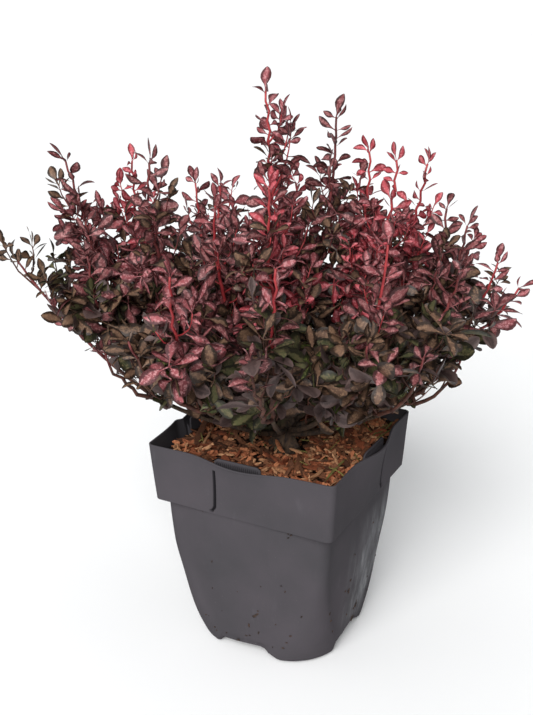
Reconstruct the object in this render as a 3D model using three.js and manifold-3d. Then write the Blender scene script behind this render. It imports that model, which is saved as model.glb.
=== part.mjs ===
// A young purple barberry in a square nursery pot, in millimetres, +Z up.
// The origin is the middle of the pot's flat underside. The pot's four sides face -Y, +X, +Y and -X.
// A short trunk stands on the potting mix and forks into boughs. Each bough's tip carries two masses
// of foliage. A mass is one shoot with its side twigs and leaves, in a space of its own.
import * as THREE from "three";
import { mergeVertices } from "three/addons/utils/BufferGeometryUtils.js";
import Module from "manifold-3d";

const wasm = await Module();
wasm.setup();

// The pot
const POT_WIDTH = 150;
const POT_HEIGHT = 168;
const WALL = 1.5;
const FLOOR = 2.4;
const COLLAR_HEIGHT = 45;
const COLLAR_DRAFT = 3.2;
const COLLAR_CORNER = 5;
const BODY_HEIGHT = POT_HEIGHT - COLLAR_HEIGHT;
const BODY_TOP_HALF = 71.2;
const BODY_TOP_CORNER = 26;
const BODY_BASE_HALF = 57;
const BODY_BASE_CORNER = 38;
const BODY_BOW = 2.4;
const ARCH_HEIGHT = 6.5;
const ARCH_REACH = 0.9;
const BASE_BEVEL = 2.5;
const BASE_REST = 9;

// The label pocket in the middle of each side of the collar, and the groove beside it
const POCKET_BULGE = 6;
const POCKET_REACH = 0.62;
const POCKET_WIDTH = 49;
const POCKET_HEIGHT = 22;
const POCKET_STRIP = 2.4;
const POCKET_DROP = 1;
const GROOVE_PLACE = 18.5;
const GROOVE_WIDTH = 1.4;
const GROOVE_DEPTH = 0.8;
const GROOVE_TOP = 3;
const GROOVE_BOTTOM = 42;

// Clearance between pieces that touch
const GAP = 0.3;

// The potting mix, level round the trunk and rising to the walls, and the bark chips on it
const MIX_TOP = 154;
const MIX_LEVEL_REACH = 22;
const MIX_EDGE_RISE = 4;
const CHIP_COUNT = 18;
const CHIP_REACH = [24, 58];
const CHIP_LENGTH = [9, 19];
const CHIP_WIDTH = [4, 8];
const CHIP_THICKNESS = 2.6;
const CHIP_LIFT = 0.8;
const CHIP_TILT = 0.25;

// The trunk
const TRUNK_BASE = MIX_TOP + GAP;
const TRUNK_HEIGHT = 27;
const TRUNK_SIDES = 12;
const FOOT_RADIUS = 11;
const FOOT_HEIGHT = 8;
const FOOT_ROOTS = 4;
const FOOT_SWELL = 0.14;
const WAIST_RADIUS = 7.4;
const WAIST_TOP = 15;
const FORK_RADIUS = 8.6;
const FORK_BELLY = 21;
const TRUNK_LEAN = 0.07;

// The limbs: boughs from the trunk to a fork, then two stems to the shoots' tips
const LEVEL_HEIGHTS = [9, 13, 18, 22, 25];
const BOUGH_SIDES = 5;
const BOUGH_STEPS = 3;
const BOUGH_ROOT_REACH = 4.5;
const BOUGH_ROOT_RADIUS = 1.9;
const BOUGH_TIP_RADIUS = 1.35;
const BOUGH_SAG = 0.12;
const FORK_REACH = 0.6;
const FORK_RISE = 0.3;
const STEM_SIDES = 3;
const STEM_STEPS = 4;
const STEM_ROOT_RADIUS = 1.5;
const STEM_TIP_RADIUS = 0.9;
const STEM_SPREAD = 1.6;
const STEM_DIP = 0.1;
const STEM_SPLAY = 0.35;
const STEM_BEND = 0.5;

// The twigs and leaves
const NODE_STEP = 7.6;
const FIRST_NODE = 0.1;
const LAST_NODE = 0.96;
const LAST_TWIG = 0.72;
const TWIG_LENGTH = 40;
const TWIG_TAPER = 0.75;
const TWIG_OUT = 0.75;
const TWIG_UP = 0.55;
const TWIG_ROOT_SHARE = 0.45;
const TWIG_TIP_RADIUS = 0.5;
const LONG_TWIG = 22;
const TWIG_LEAVES = [
  { share: 0.97, turn: 0, lift: 2.2 },
  { share: 0.84, turn: 1, lift: 0.7 },
  { share: 0.7, turn: 2, lift: 0.5 },
  { share: 0.45, turn: 0, lift: 0.5, longOnly: true },
];
const STEM_LEAF_LIFT = 0.7;
const TIP_LEAF = { share: 0.99, lift: 4 };
const TIP_LEAF_REACH = 15;
const LEAF_LENGTH = [21, 29];
const LEAF_WIDTH_SHARE = 0.58;
const LEAF_THICKNESS = 1.1;
const LEAF_WIDEST = 0.6;
const LEAF_CUP = 0.05;
const LEAF_APART = 6;

// The crown's underside opens like a bowl. A mass keeps these distances to its neighbours.
const UNDERSIDE_FOOT = 166;
const UNDERSIDE_SLOPE = 0.36;
const SPACE_MARGIN = 0.6;
const LIMB_MARGIN = 0.9;

// Each bough leaves the trunk at a level and carries two shoots.
// A shoot is the bearing, reach and height of its tip. Bearings run anticlockwise from +X.
const BOUGHS = [
  { level: 0, shoots: [[-152, 189, 304], [-132, 138, 250]] },
  { level: 1, shoots: [[-156, 158, 374], [-145, 144, 312]] },
  { level: 2, shoots: [[-172, 122, 370], [-143, 96, 377]] },
  { level: 3, shoots: [[168, 64, 352], [-112, 64, 352]] },
  { level: 0, shoots: [[-100, 122, 318], [-117, 134, 268]] },
  { level: 4, shoots: [[-152, 3, 420], [-74, 62, 368]] },
  { level: 4, shoots: [[57, 42, 404], [110, 60, 352]] },
  { level: 3, shoots: [[56, 70, 378], [14, 78, 379]] },
  { level: 2, shoots: [[40, 106, 371], [26, 116, 343]] },
  { level: 1, shoots: [[44, 146, 322], [27, 157, 303]] },
  { level: 0, shoots: [[20, 170, 290], [14, 134, 240]] },
  { level: 1, shoots: [[-28, 112, 338], [-42, 140, 284]] },
  { level: 1, shoots: [[-66, 122, 330], [-72, 146, 276]] },
  { level: 1, shoots: [[150, 138, 342], [140, 160, 296]] },
  { level: 0, shoots: [[118, 116, 340], [112, 158, 300]] },
  { level: 1, shoots: [[84, 110, 350], [76, 154, 306]] },
  { level: 0, shoots: [[-170, 150, 326], [172, 144, 292]] },
  { level: 0, shoots: [[-6, 138, 316], [-18, 130, 262]] },
];

const CHIP_SEED = 7;
const FOLIAGE_SEED = 101;
const FULL_TURN = 2 * Math.PI;
const GOLDEN_ANGLE = THREE.MathUtils.degToRad(137.5);
const SKY = new THREE.Vector3(0, 0, 1);

// A repeatable source of numbers from 0 to 1 (the mulberry32 generator).
function seeded(seed) {
  let state = seed >>> 0;
  return () => {
    state = (state + 0x6d2b79f5) >>> 0;
    let t = state;
    t = Math.imul(t ^ (t >>> 15), t | 1);
    t ^= t + Math.imul(t ^ (t >>> 7), t | 61);
    return ((t ^ (t >>> 14)) >>> 0) / 4294967296;
  };
}

const between = (range, share) => THREE.MathUtils.lerp(range[0], range[1], share);

// Geometry to solid and back

function solidOf(geometry) {
  const bare = geometry.index ? geometry.toNonIndexed() : geometry.clone();
  bare.deleteAttribute("normal");
  bare.deleteAttribute("uv");
  const merged = mergeVertices(bare, 1e-4);
  return new wasm.Manifold(
    new wasm.Mesh({
      numProp: 3,
      vertProperties: merged.attributes.position.array,
      triVerts: new Uint32Array(merged.index.array),
    }),
  );
}

// The solid of an indexed geometry, with its faces wound to point out.
function facingOut(geometry) {
  const solid = solidOf(geometry);
  if (solid.volume() > 0) return solid;
  const index = geometry.index.array;
  for (let i = 0; i < index.length; i += 3) {
    const first = index[i];
    index[i] = index[i + 1];
    index[i + 1] = first;
  }
  return solidOf(geometry);
}

function geometryOf(solid) {
  const mesh = solid.getMesh();
  const geometry = new THREE.BufferGeometry();
  geometry.setAttribute("position", new THREE.BufferAttribute(mesh.vertProperties, 3));
  geometry.setIndex(new THREE.BufferAttribute(mesh.triVerts, 1));
  return geometry;
}

const joined = (solids) => solids.reduce((whole, piece) => whole.add(piece));

// The largest body of a solid: scraps and sealed hollows are left behind.
function largestBody(solid) {
  return solid.decompose().reduce((best, body) => (body.volume() > best.volume() ? body : best));
}

function boxSolid(size, centre, turn = [0, 0, 0]) {
  const geometry = new THREE.BoxGeometry(...size);
  geometry.applyMatrix4(new THREE.Matrix4().makeRotationFromEuler(new THREE.Euler(...turn)));
  geometry.translate(...centre);
  return solidOf(geometry);
}

// What `make` gives for each of four sides, turned to its side. The sides are alike in pairs: `hand`
// is -1 on those that face -Y and +Y, and 1 on the other two.
const onEachSide = (make) => [-1, 1, -1, 1].map((hand, side) => make(hand).rotate([0, 0, 90 * side]));

// Rounded squares: a ring has a half width, a corner radius and a height. The middle of each of its
// flats may bulge out by `bulge` and rise by `arch`.

const FLAT_STEPS = 8;
const ARC_STEPS = 3;
const SIDE_STATIONS = FLAT_STEPS + ARC_STEPS;

// A smooth rise to 1 in the middle of a flat, over `reach` of its length.
const hump = (share, reach) => Math.cos((Math.min(Math.abs(share) / reach, 1) * Math.PI) / 2) ** 2;

function outlinePoint(station, { half, corner, bulge = 0, arch = 0, z }) {
  const side = Math.floor(station / SIDE_STATIONS) % 4;
  const place = station % SIDE_STATIONS;
  const flat = half - corner;
  const point = new THREE.Vector3();
  if (place <= FLAT_STEPS) {
    const share = (2 * place) / FLAT_STEPS - 1;
    point.set(share * flat, -half - bulge * hump(share, POCKET_REACH), z + arch * hump(share, ARCH_REACH));
  } else {
    const angle = ((place - FLAT_STEPS) / ARC_STEPS - 1) * (Math.PI / 2);
    point.set(flat + corner * Math.cos(angle), -flat + corner * Math.sin(angle), z);
  }
  return point.applyAxisAngle(SKY, (side * Math.PI) / 2);
}

const axisRing = (z) => ({ half: 0, corner: 0, z });

// A closed solid lofted through rings. The profile starts and ends on the axis.
function squareLoft(profile) {
  const stations = 4 * SIDE_STATIONS;
  const points = profile.map((ring) => new THREE.Vector2(ring.half, ring.z));
  const geometry = new THREE.LatheGeometry(points, stations);
  const position = geometry.getAttribute("position");
  for (let i = 0; i < position.count; i++) {
    const ring = profile[i % profile.length];
    const station = Math.floor(i / profile.length) % stations;
    const place = outlinePoint(station, ring);
    position.setXYZ(i, place.x, place.y, place.z);
  }
  return solidOf(geometry);
}

// The pot

// The body's surface at height z, taken in by `inset`.
function bodyRing(z, inset = 0) {
  const t = z / BODY_HEIGHT;
  const bow = BODY_BOW * 4 * t * (1 - t);
  return {
    half: THREE.MathUtils.lerp(BODY_BASE_HALF, BODY_TOP_HALF, t) + bow - inset,
    corner: THREE.MathUtils.lerp(BODY_BASE_CORNER, BODY_TOP_CORNER, t) - inset,
    z,
  };
}

// The collar's surface at height z, taken in by `inset`.
function collarRing(z, inset = 0) {
  const t = (z - BODY_HEIGHT) / COLLAR_HEIGHT;
  return {
    half: POT_WIDTH / 2 - COLLAR_DRAFT * (1 - t) - inset,
    corner: COLLAR_CORNER - Math.min(inset, WALL),
    bulge: POCKET_BULGE * t * t,
    z,
  };
}

const BODY_SHARES = [0.3, 0.65];
const COLLAR_SHARES = [0.6, 1];
const bodyRings = (inset) => BODY_SHARES.map((share) => bodyRing(share * BODY_HEIGHT, inset));
const collarRings = (inset, top) =>
  COLLAR_SHARES.map((share) => collarRing(THREE.MathUtils.lerp(BODY_HEIGHT, top, share), inset));

// The rings of the pot's hollow from its floor up to `top`, taken in by `inset` from the wall's inside.
function hollowRings(inset, top) {
  const depth = WALL + inset;
  return [
    { ...bodyRing(FLOOR, depth), z: FLOOR + inset, arch: ARCH_HEIGHT },
    ...bodyRings(depth),
    bodyRing(BODY_HEIGHT, depth),
    { ...collarRing(BODY_HEIGHT + WALL, depth), z: BODY_HEIGHT + depth },
    ...collarRings(depth, top),
  ];
}

// The wall's outer y on the side that faces -Y, at x.
const outerY = (x, ring) => -ring.half - ring.bulge * hump(x / (ring.half - ring.corner), POCKET_REACH);

function makePot() {
  const base = bodyRing(0);
  const shell = squareLoft([
    axisRing(0),
    { ...base, half: base.half - BASE_REST, corner: base.corner - BASE_REST },
    { ...base, half: base.half - BASE_BEVEL, corner: base.corner - BASE_BEVEL, arch: ARCH_HEIGHT },
    { ...bodyRing(BASE_BEVEL), arch: ARCH_HEIGHT },
    ...bodyRings(0),
    bodyRing(BODY_HEIGHT),
    collarRing(BODY_HEIGHT),
    ...collarRings(0, POT_HEIGHT),
    ...hollowRings(0, POT_HEIGHT).reverse(),
    axisRing(FLOOR),
  ]);
  const strip = boxSolid(
    [POCKET_WIDTH, POCKET_STRIP, POCKET_HEIGHT],
    [0, WALL - (POT_WIDTH + POCKET_STRIP) / 2, POT_HEIGHT - POCKET_DROP - POCKET_HEIGHT / 2],
  );
  const high = outerY(GROOVE_PLACE, collarRing(POT_HEIGHT));
  const low = outerY(GROOVE_PLACE, collarRing(POT_HEIGHT - GROOVE_BOTTOM));
  const grooves = onEachSide((hand) =>
    boxSolid(
      [GROOVE_WIDTH, 2 * GROOVE_DEPTH, GROOVE_BOTTOM - GROOVE_TOP],
      [hand * GROOVE_PLACE, (high + low) / 2, POT_HEIGHT - (GROOVE_TOP + GROOVE_BOTTOM) / 2],
      [Math.atan2(low - high, GROOVE_BOTTOM), 0, 0],
    ),
  );
  return joined([shell, ...onEachSide(() => strip)]).subtract(joined(grooves));
}

// The potting mix

function mixHeight(reach) {
  const share = (reach - MIX_LEVEL_REACH) / (POT_WIDTH / 2 - MIX_LEVEL_REACH);
  return MIX_TOP + MIX_EDGE_RISE * THREE.MathUtils.clamp(share, 0, 1) ** 2;
}

function makeMix() {
  const top = collarRing(mixHeight(POT_WIDTH), WALL + GAP);
  const surface = [0.65 * top.half, MIX_LEVEL_REACH].map((half) => ({
    half,
    corner: 0.4 * half,
    z: mixHeight(half),
  }));
  const sides = hollowRings(GAP, top.z).map((ring) => ({ ...ring, bulge: 0 }));
  const mix = squareLoft([axisRing(FLOOR + GAP), ...sides, ...surface, axisRing(MIX_TOP)]);
  const random = seeded(CHIP_SEED);
  const chips = Array.from({ length: CHIP_COUNT }, (_, k) => {
    const reach = between(CHIP_REACH, Math.sqrt(random()));
    const angle = k * GOLDEN_ANGLE;
    const tilt = [CHIP_TILT * (2 * random() - 1), CHIP_TILT * (2 * random() - 1), random() * Math.PI];
    const size = [between(CHIP_LENGTH, random()), between(CHIP_WIDTH, random()), CHIP_THICKNESS];
    const place = [reach * Math.cos(angle), reach * Math.sin(angle), mixHeight(reach) + CHIP_LIFT];
    return boxSolid(size, place, tilt);
  });
  return largestBody(joined([mix, ...chips]));
}

// The trunk: a short stool with a flared foot, a waist and a swollen fork, leaning a little.
// `grown` makes it larger all round, for the room that the boughs leave it.
function makeTrunk(grown = 0) {
  const top = TRUNK_HEIGHT + grown;
  const profile = [
    [FOOT_RADIUS, -grown],
    [THREE.MathUtils.lerp(WAIST_RADIUS, FOOT_RADIUS, 0.4), 0.4 * FOOT_HEIGHT],
    [WAIST_RADIUS, FOOT_HEIGHT],
    [WAIST_RADIUS, WAIST_TOP],
    [FORK_RADIUS, FORK_BELLY],
    [0.7 * FORK_RADIUS, top - 2],
  ];
  const points = profile.map(([radius, height]) => new THREE.Vector2(radius + grown, height));
  const ends = [new THREE.Vector2(0, -grown), new THREE.Vector2(0, top)];
  const geometry = new THREE.LatheGeometry([ends[0], ...points, ends[1]], TRUNK_SIDES);
  geometry.rotateX(Math.PI / 2);
  const position = geometry.getAttribute("position");
  for (let i = 0; i < position.count; i++) {
    const [x, y, z] = [position.getX(i), position.getY(i), position.getZ(i)];
    const flare = Math.max(0, 1 - z / FOOT_HEIGHT);
    const swell = 1 + FOOT_SWELL * flare * Math.cos(FOOT_ROOTS * Math.atan2(y, x));
    position.setXYZ(i, x * swell + TRUNK_LEAN * z, y * swell, TRUNK_BASE + z);
  }
  return facingOut(geometry);
}

// A tapering limb: a cylinder bent along a curve.
class Limb {
  constructor(curve, rootRadius, tipRadius, sides, steps) {
    Object.assign(this, { curve, rootRadius, tipRadius, sides, steps });
    this.frames = curve.computeFrenetFrames(steps, false);
    this.middles = Array.from({ length: steps + 1 }, (_, step) => curve.getPointAt(step / steps));
  }

  // The point on the limb's middle line at a share of its length.
  pointAt(share) {
    const step = Math.min(Math.floor(share * this.steps), this.steps - 1);
    return this.middles[step].clone().lerp(this.middles[step + 1], share * this.steps - step);
  }

  // The unit vector out of the limb at a share of its length, at `angle` round it.
  outward(share, angle) {
    const step = Math.round(share * this.steps);
    const out = new THREE.Vector3();
    out.addScaledVector(this.frames.normals[step], Math.sin(angle));
    return out.addScaledVector(this.frames.binormals[step], Math.cos(angle));
  }

  // The way out through the middle of a face, counted round the limb, leaning along the limb by `lift`.
  throughFace(share, face, lift) {
    const out = this.outward(share, ((face + 0.5) * FULL_TURN) / this.sides);
    return out.addScaledVector(this.curve.getTangentAt(share), lift).normalize();
  }

  solid() {
    const { rootRadius, tipRadius, sides, steps } = this;
    const geometry = new THREE.CylinderGeometry(tipRadius, rootRadius, 1, sides, steps);
    const position = geometry.getAttribute("position");
    for (let i = 0; i < position.count; i++) {
      const share = position.getY(i) + 0.5;
      const [x, z] = [position.getX(i), position.getZ(i)];
      const place = this.pointAt(share);
      place.addScaledVector(this.outward(share, Math.atan2(x, z)), Math.hypot(x, z));
      position.setXYZ(i, place.x, place.y, place.z);
    }
    return facingOut(geometry);
  }
}

// The layout of the limbs

function polar(bearing, reach, height) {
  const angle = THREE.MathUtils.degToRad(bearing);
  return new THREE.Vector3(reach * Math.cos(angle), reach * Math.sin(angle), height);
}

// The curves of one bough and of the two stems that it carries.
function layOut({ level, shoots }) {
  const tips = shoots.map((shoot) => polar(...shoot));
  const middle = tips[0].clone().lerp(tips[1], 0.5);
  const rise = LEVEL_HEIGHTS[level];
  const root = middle.clone().setZ(0).setLength(BOUGH_ROOT_REACH);
  root.add(new THREE.Vector3(TRUNK_LEAN * rise, 0, TRUNK_BASE + rise));
  const fork = new THREE.Vector3(middle.x * FORK_REACH, middle.y * FORK_REACH, 0);
  fork.z = THREE.MathUtils.lerp(root.z, middle.z, FORK_RISE);
  const bend = root.clone().lerp(fork, 0.5);
  bend.z -= BOUGH_SAG * root.distanceTo(fork);
  const bough = new THREE.QuadraticBezierCurve3(root, bend, fork);
  const heading = bough.getTangentAt(1);
  const apart = tips[0].clone().sub(tips[1]);
  apart.addScaledVector(heading, -apart.dot(heading)).normalize();
  const stems = tips.map((tip, k) => {
    const side = apart.clone().multiplyScalar(k ? -1 : 1);
    const start = fork.clone().addScaledVector(heading, GAP).addScaledVector(side, STEM_SPREAD);
    const end = tip.clone().sub(tip.clone().sub(fork).setLength(TIP_LEAF_REACH));
    const lead = heading.clone().addScaledVector(SKY, -STEM_DIP).addScaledVector(side, STEM_SPLAY);
    const turn = start.clone().addScaledVector(lead.normalize(), STEM_BEND * start.distanceTo(end));
    return new THREE.QuadraticBezierCurve3(start, turn, end);
  });
  return { bough, stems };
}

// The space of each mass

const LINE_STEPS = 8;
const plan = BOUGHS.map(layOut);
const boughLines = plan.map(({ bough }) => bough.getSpacedPoints(LINE_STEPS));
const stemLines = plan.flatMap(({ stems }) => stems.map((stem) => stem.getSpacedPoints(LINE_STEPS)));
const segment = new THREE.Line3();
const nearest = new THREE.Vector3();

function distanceTo(line, point) {
  let least = Infinity;
  for (let i = 0; i + 1 < line.length; i++) {
    segment.set(line[i], line[i + 1]);
    segment.closestPointToPoint(point, true, nearest);
    least = Math.min(least, nearest.distanceTo(point));
  }
  return least;
}

// A place belongs to the shoot whose stem is nearest, clear of the boughs and above the underside.
function isFree(point, own) {
  if (point.z < UNDERSIDE_FOOT + UNDERSIDE_SLOPE * Math.hypot(point.x, point.y)) return false;
  const limit = distanceTo(stemLines[own], point) + 2 * SPACE_MARGIN;
  if (stemLines.some((line, k) => k !== own && distanceTo(line, point) < limit)) return false;
  return boughLines.every((line) => distanceTo(line, point) > BOUGH_ROOT_RADIUS + LIMB_MARGIN);
}

// Leaves

// The corners of a leaf that runs from `root` along `along`, with its face turned to `front`.
function leafCorners(root, along, front, length) {
  const across = new THREE.Vector3().crossVectors(front, along).normalize();
  const up = new THREE.Vector3().crossVectors(along, across);
  const at = (x, y, z) =>
    root.clone().addScaledVector(along, x).addScaledVector(across, y).addScaledVector(up, z);
  const half = (length * LEAF_WIDTH_SHARE) / 2;
  const widest = LEAF_WIDEST * length;
  return {
    root,
    tip: at(length, 0, -LEAF_CUP * length),
    left: at(widest, half, LEAF_CUP * length),
    right: at(widest, -half, LEAF_CUP * length),
    top: at(length / 2, 0, LEAF_THICKNESS / 2),
    under: at(length / 2, 0, -LEAF_THICKNESS / 2),
  };
}

// A leaf is a flat diamond of eight faces: an octahedron with its corners moved.
function leafSolid(corners) {
  const geometry = new THREE.OctahedronGeometry(1, 0);
  const position = geometry.getAttribute("position");
  for (let i = 0; i < position.count; i++) {
    const [x, y, z] = [position.getX(i), position.getY(i), position.getZ(i)];
    let corner = z > 0.5 ? corners.top : corners.under;
    if (x > 0.5) corner = corners.tip;
    if (x < -0.5) corner = corners.root;
    if (y > 0.5) corner = corners.left;
    if (y < -0.5) corner = corners.right;
    position.setXYZ(i, corner.x, corner.y, corner.z);
  }
  return solidOf(geometry);
}

// A unit vector square to `axis`, turned round it by `angle`.
function sideways(axis, angle) {
  const spare = Math.abs(axis.z) > 0.9 ? new THREE.Vector3(1, 0, 0) : SKY;
  return new THREE.Vector3().crossVectors(axis, spare).normalize().applyAxisAngle(axis, angle);
}

// One mass of foliage: the shoot's stem, its side twigs, and the leaves on both.
class Foliage {
  constructor(curve, own) {
    this.stem = new Limb(curve, STEM_ROOT_RADIUS, STEM_TIP_RADIUS, STEM_SIDES, STEM_STEPS);
    this.own = own;
    this.random = seeded(FOLIAGE_SEED + own);
    this.solids = [this.stem.solid()];
    this.takenPoints = [];
  }

  isCrowded(points) {
    return this.takenPoints.some((taken) => points.some((point) => point.distanceTo(taken) < LEAF_APART));
  }

  // A leaf out of a limb, tried on each of its faces until it stays in the shoot's space.
  addLeaf(limb, share, face, lift) {
    const length = between(LEAF_LENGTH, this.random());
    const roll = this.random() * FULL_TURN;
    for (let turn = 0; turn < limb.sides; turn++) {
      const along = limb.throughFace(share, face + turn, lift);
      const front = sideways(along, roll).multiplyScalar(0.8).add(SKY);
      const corners = leafCorners(limb.pointAt(share), along, front, length);
      const neck = corners.root.clone().lerp(corners.tip, 0.28);
      const points = [neck, corners.top, corners.left, corners.right, corners.tip];
      if (this.isCrowded(points) || !points.every((point) => isFree(point, this.own))) continue;
      this.takenPoints.push(...points);
      this.solids.push(leafSolid(corners));
      return;
    }
  }

  addTwig(share, face) {
    const { stem, own } = this;
    const length = TWIG_LENGTH * (1 - TWIG_TAPER * share) * between([0.8, 1.2], this.random());
    const root = stem.pointAt(share);
    const end = root.clone().addScaledVector(stem.throughFace(share, face, 0), TWIG_OUT * length);
    end.addScaledVector(stem.curve.getTangentAt(share), TWIG_UP * length);
    const curve = new THREE.LineCurve3(root, end);
    if (![0.5, 1].every((part) => isFree(curve.getPointAt(part), own))) return;
    const rootRadius = TWIG_ROOT_SHARE * between([STEM_ROOT_RADIUS, STEM_TIP_RADIUS], share);
    const twig = new Limb(curve, rootRadius, TWIG_TIP_RADIUS, STEM_SIDES, 1);
    this.solids.push(twig.solid());
    for (const leaf of TWIG_LEAVES) {
      if (leaf.longOnly && length < LONG_TWIG) continue;
      this.addLeaf(twig, leaf.share, face + leaf.turn, leaf.lift);
    }
  }

  // Nodes run down the stem from its tip. Below the last twig, every other node bears a twig.
  grow() {
    const { stem, own, random } = this;
    const nodes = Math.round(stem.curve.getLength() / NODE_STEP);
    this.addLeaf(stem, TIP_LEAF.share, own, TIP_LEAF.lift);
    for (let k = nodes - 1; k >= 0; k--) {
      const share = between([FIRST_NODE, LAST_NODE], (k + 0.5 * random()) / nodes);
      if (share < LAST_TWIG && k % 2 === 0) this.addTwig(share, k / 2 + own);
      else this.addLeaf(stem, share, k + own, STEM_LEAF_LIFT);
    }
    return largestBody(joined(this.solids));
  }
}

// The whole object

const materials = {
  pot: new THREE.MeshStandardMaterial({ color: 0x55535a, roughness: 0.45, metalness: 0 }),
  mix: new THREE.MeshStandardMaterial({ color: 0x8a5a38, roughness: 0.9, metalness: 0 }),
  bark: new THREE.MeshStandardMaterial({ color: 0x3a2a26, roughness: 0.8, metalness: 0 }),
  leaf: new THREE.MeshStandardMaterial({ color: 0x6e3340, roughness: 0.6, metalness: 0 }),
};

const barberry = new THREE.Group();

function addPiece(name, solid, material) {
  const mesh = new THREE.Mesh(geometryOf(solid), material);
  mesh.name = name;
  barberry.add(mesh);
}

addPiece("pot", makePot(), materials.pot);
addPiece("potting_mix", makeMix(), materials.mix);
addPiece("trunk", makeTrunk(), materials.bark);

const trunkRoom = makeTrunk(GAP);
plan.forEach(({ bough, stems }, k) => {
  const number = String(k + 1).padStart(2, "0");
  const limb = new Limb(bough, BOUGH_ROOT_RADIUS, BOUGH_TIP_RADIUS, BOUGH_SIDES, BOUGH_STEPS);
  addPiece(`bough_${number}`, largestBody(limb.solid().subtract(trunkRoom)), materials.bark);
  stems.forEach((stem, side) => {
    const foliage = new Foliage(stem, 2 * k + side);
    addPiece(`foliage_${number}_${"ab"[side]}`, foliage.grow(), materials.leaf);
  });
});

export default barberry;
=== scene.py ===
# Looks of a young purple barberry in a square nursery pot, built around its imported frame.
# Sizes and places are in millimetres, and become metres where a mesh is made.
# The limbs follow the frame's plan. Twigs, leaves, bark, pot and potting mix are made here.
import math
import random

import bpy
import numpy as np
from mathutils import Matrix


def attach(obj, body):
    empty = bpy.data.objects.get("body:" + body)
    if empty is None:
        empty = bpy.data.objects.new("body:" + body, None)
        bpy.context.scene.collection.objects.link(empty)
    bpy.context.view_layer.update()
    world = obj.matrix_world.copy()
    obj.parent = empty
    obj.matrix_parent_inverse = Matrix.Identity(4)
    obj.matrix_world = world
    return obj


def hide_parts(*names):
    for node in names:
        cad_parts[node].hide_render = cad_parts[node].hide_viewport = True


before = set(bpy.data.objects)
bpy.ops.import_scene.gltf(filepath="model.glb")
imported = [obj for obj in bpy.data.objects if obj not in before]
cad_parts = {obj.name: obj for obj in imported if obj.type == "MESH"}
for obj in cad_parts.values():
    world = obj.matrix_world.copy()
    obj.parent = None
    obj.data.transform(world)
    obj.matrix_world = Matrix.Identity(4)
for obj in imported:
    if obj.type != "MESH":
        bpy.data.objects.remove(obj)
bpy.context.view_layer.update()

MM = 0.001
SKY = np.array([0.0, 0.0, 1.0])
GOLDEN_ANGLE = math.radians(137.5)
FULL_TURN = 2 * math.pi

# The camera, as fitted to the photo
CAMERA_PLACE = (297.8, -595.6, 461.1)
CAMERA_TURN = 27.73
CAMERA_PITCH = 19.64
CAMERA_LENS = 48.07

# The studio: each lamp's bearing and height in degrees, its strength and its spread in degrees
FLOOR_RADIUS = 30
FLOOR_TONES = [(0.95, 0.95, 0.95, 1), (0.97, 0.97, 0.97, 1)]
SKY_STRENGTH = 0.24
SKY_SEEN = 1.2
SKY_COLOUR = (0.93, 0.97, 1.0, 1.0)
SUNS = {
    "key": (-80, 36, 3.3, 40),
    "top": (-120, 75, 0.7, 80),
    "fill": (-70, 20, 0.55, 50),
}

# The pot
POT_WIDTH = 150
POT_HEIGHT = 168
WALL = 1.5
COLLAR_HEIGHT = 45
COLLAR_DRAFT = 3.2
COLLAR_CORNER = 5
BODY_HEIGHT = POT_HEIGHT - COLLAR_HEIGHT
BODY_TOP_HALF = 71.2
BODY_TOP_CORNER = 9
BODY_BASE_HALF = 57
BODY_BASE_CORNER = 37
CORNER_OPENING = 0.7
CORNER_STEPS = 24
BODY_BOW = 2.4
BODY_TUCK = 4.9
TUCK_RISE = 0.55
TUCK_START = 0.4
BASE_FACET = 0.2
FACET_RISE = 0.5
BASE_BEVEL = 2.5
BASE_REST = 9
UNDERSIDE_RISE = 9
INNER_FLOOR = 11
STEP_FILLET = 1.2
RIM_THICKNESS = 1.6
WALL_SWELL = 0.3
RIM_SWAY = 0.6
RIM_WAVE = 0.3

# The label pocket in the middle of each side of the collar, and the groove beside it
POCKET_BULGE = 6
POCKET_REACH = 0.62
POCKET_DIP = 1.2
STRIP_WIDTH = 37
STRIP_HEIGHT = 24
STRIP_RISE = 0.3
STRIP_THICKNESS = 1.1
STRIP_RIBS = 24
RIB_DEPTH = 0.6
RIB_SHADE = 0.35
STRIP_ROUNDING = 3
GROOVE_HIGH_PLACE = 15.9
GROOVE_LOW_PLACE = 20.2
GROOVE_WIDTHS = (2.4, 3.8)
GROOVE_DEPTH = 1.6
GROOVE_FLAT = 0.3
GROOVE_SHOULDER = 0.35
GROOVE_FADE = 0.6
GROOVE_BAND = 5.5
GROOVE_STEPS = 34
GROOVE_TOP = 7
GROOVE_BOTTOM = 44
GROOVE_HOOK = 2.2
HOOK_RISE = 5

# The kink in the rim of the side that faces -X: places along it and how far it stands out there
KINK_PLACES = [-72, -50, -29, -22]
KINK_PUSHES = [0, 1.2, 3.0, 0]
KINK_LIFT = 0.35

# The potting mix
MIX_TOP = 154
MIX_LEVEL_REACH = 22
MIX_EDGE_RISE = 4
BED_DROP = 1.5
MIX_HALF = 71.8
MIX_CORNER = 4.2
MIX_SKIRT = 15
CHIP_RINGS = 6
CHIP_SIDES = 7
SOIL_STEPS = 111
SOIL_LUMPS = 0.8
SOIL_CRUMBS = 0.55
HOLLOW_DEPTH = 8
HOLLOW_REACH = 21
HOLLOW_MIDDLE = 2

# The trunk
TRUNK_BASE = MIX_TOP + 0.3
TRUNK_HEIGHT = 27
FOOT_RADIUS = 11
FOOT_HEIGHT = 8
FOOT_ROOTS = 4
FOOT_SWELL = 0.14
WAIST_RADIUS = 7.4
WAIST_TOP = 15
FORK_RADIUS = 8.6
FORK_BELLY = 21
TRUNK_LEAN = 0.07
TRUNK_RINGS = 40
TRUNK_SIDES = 56

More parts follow.
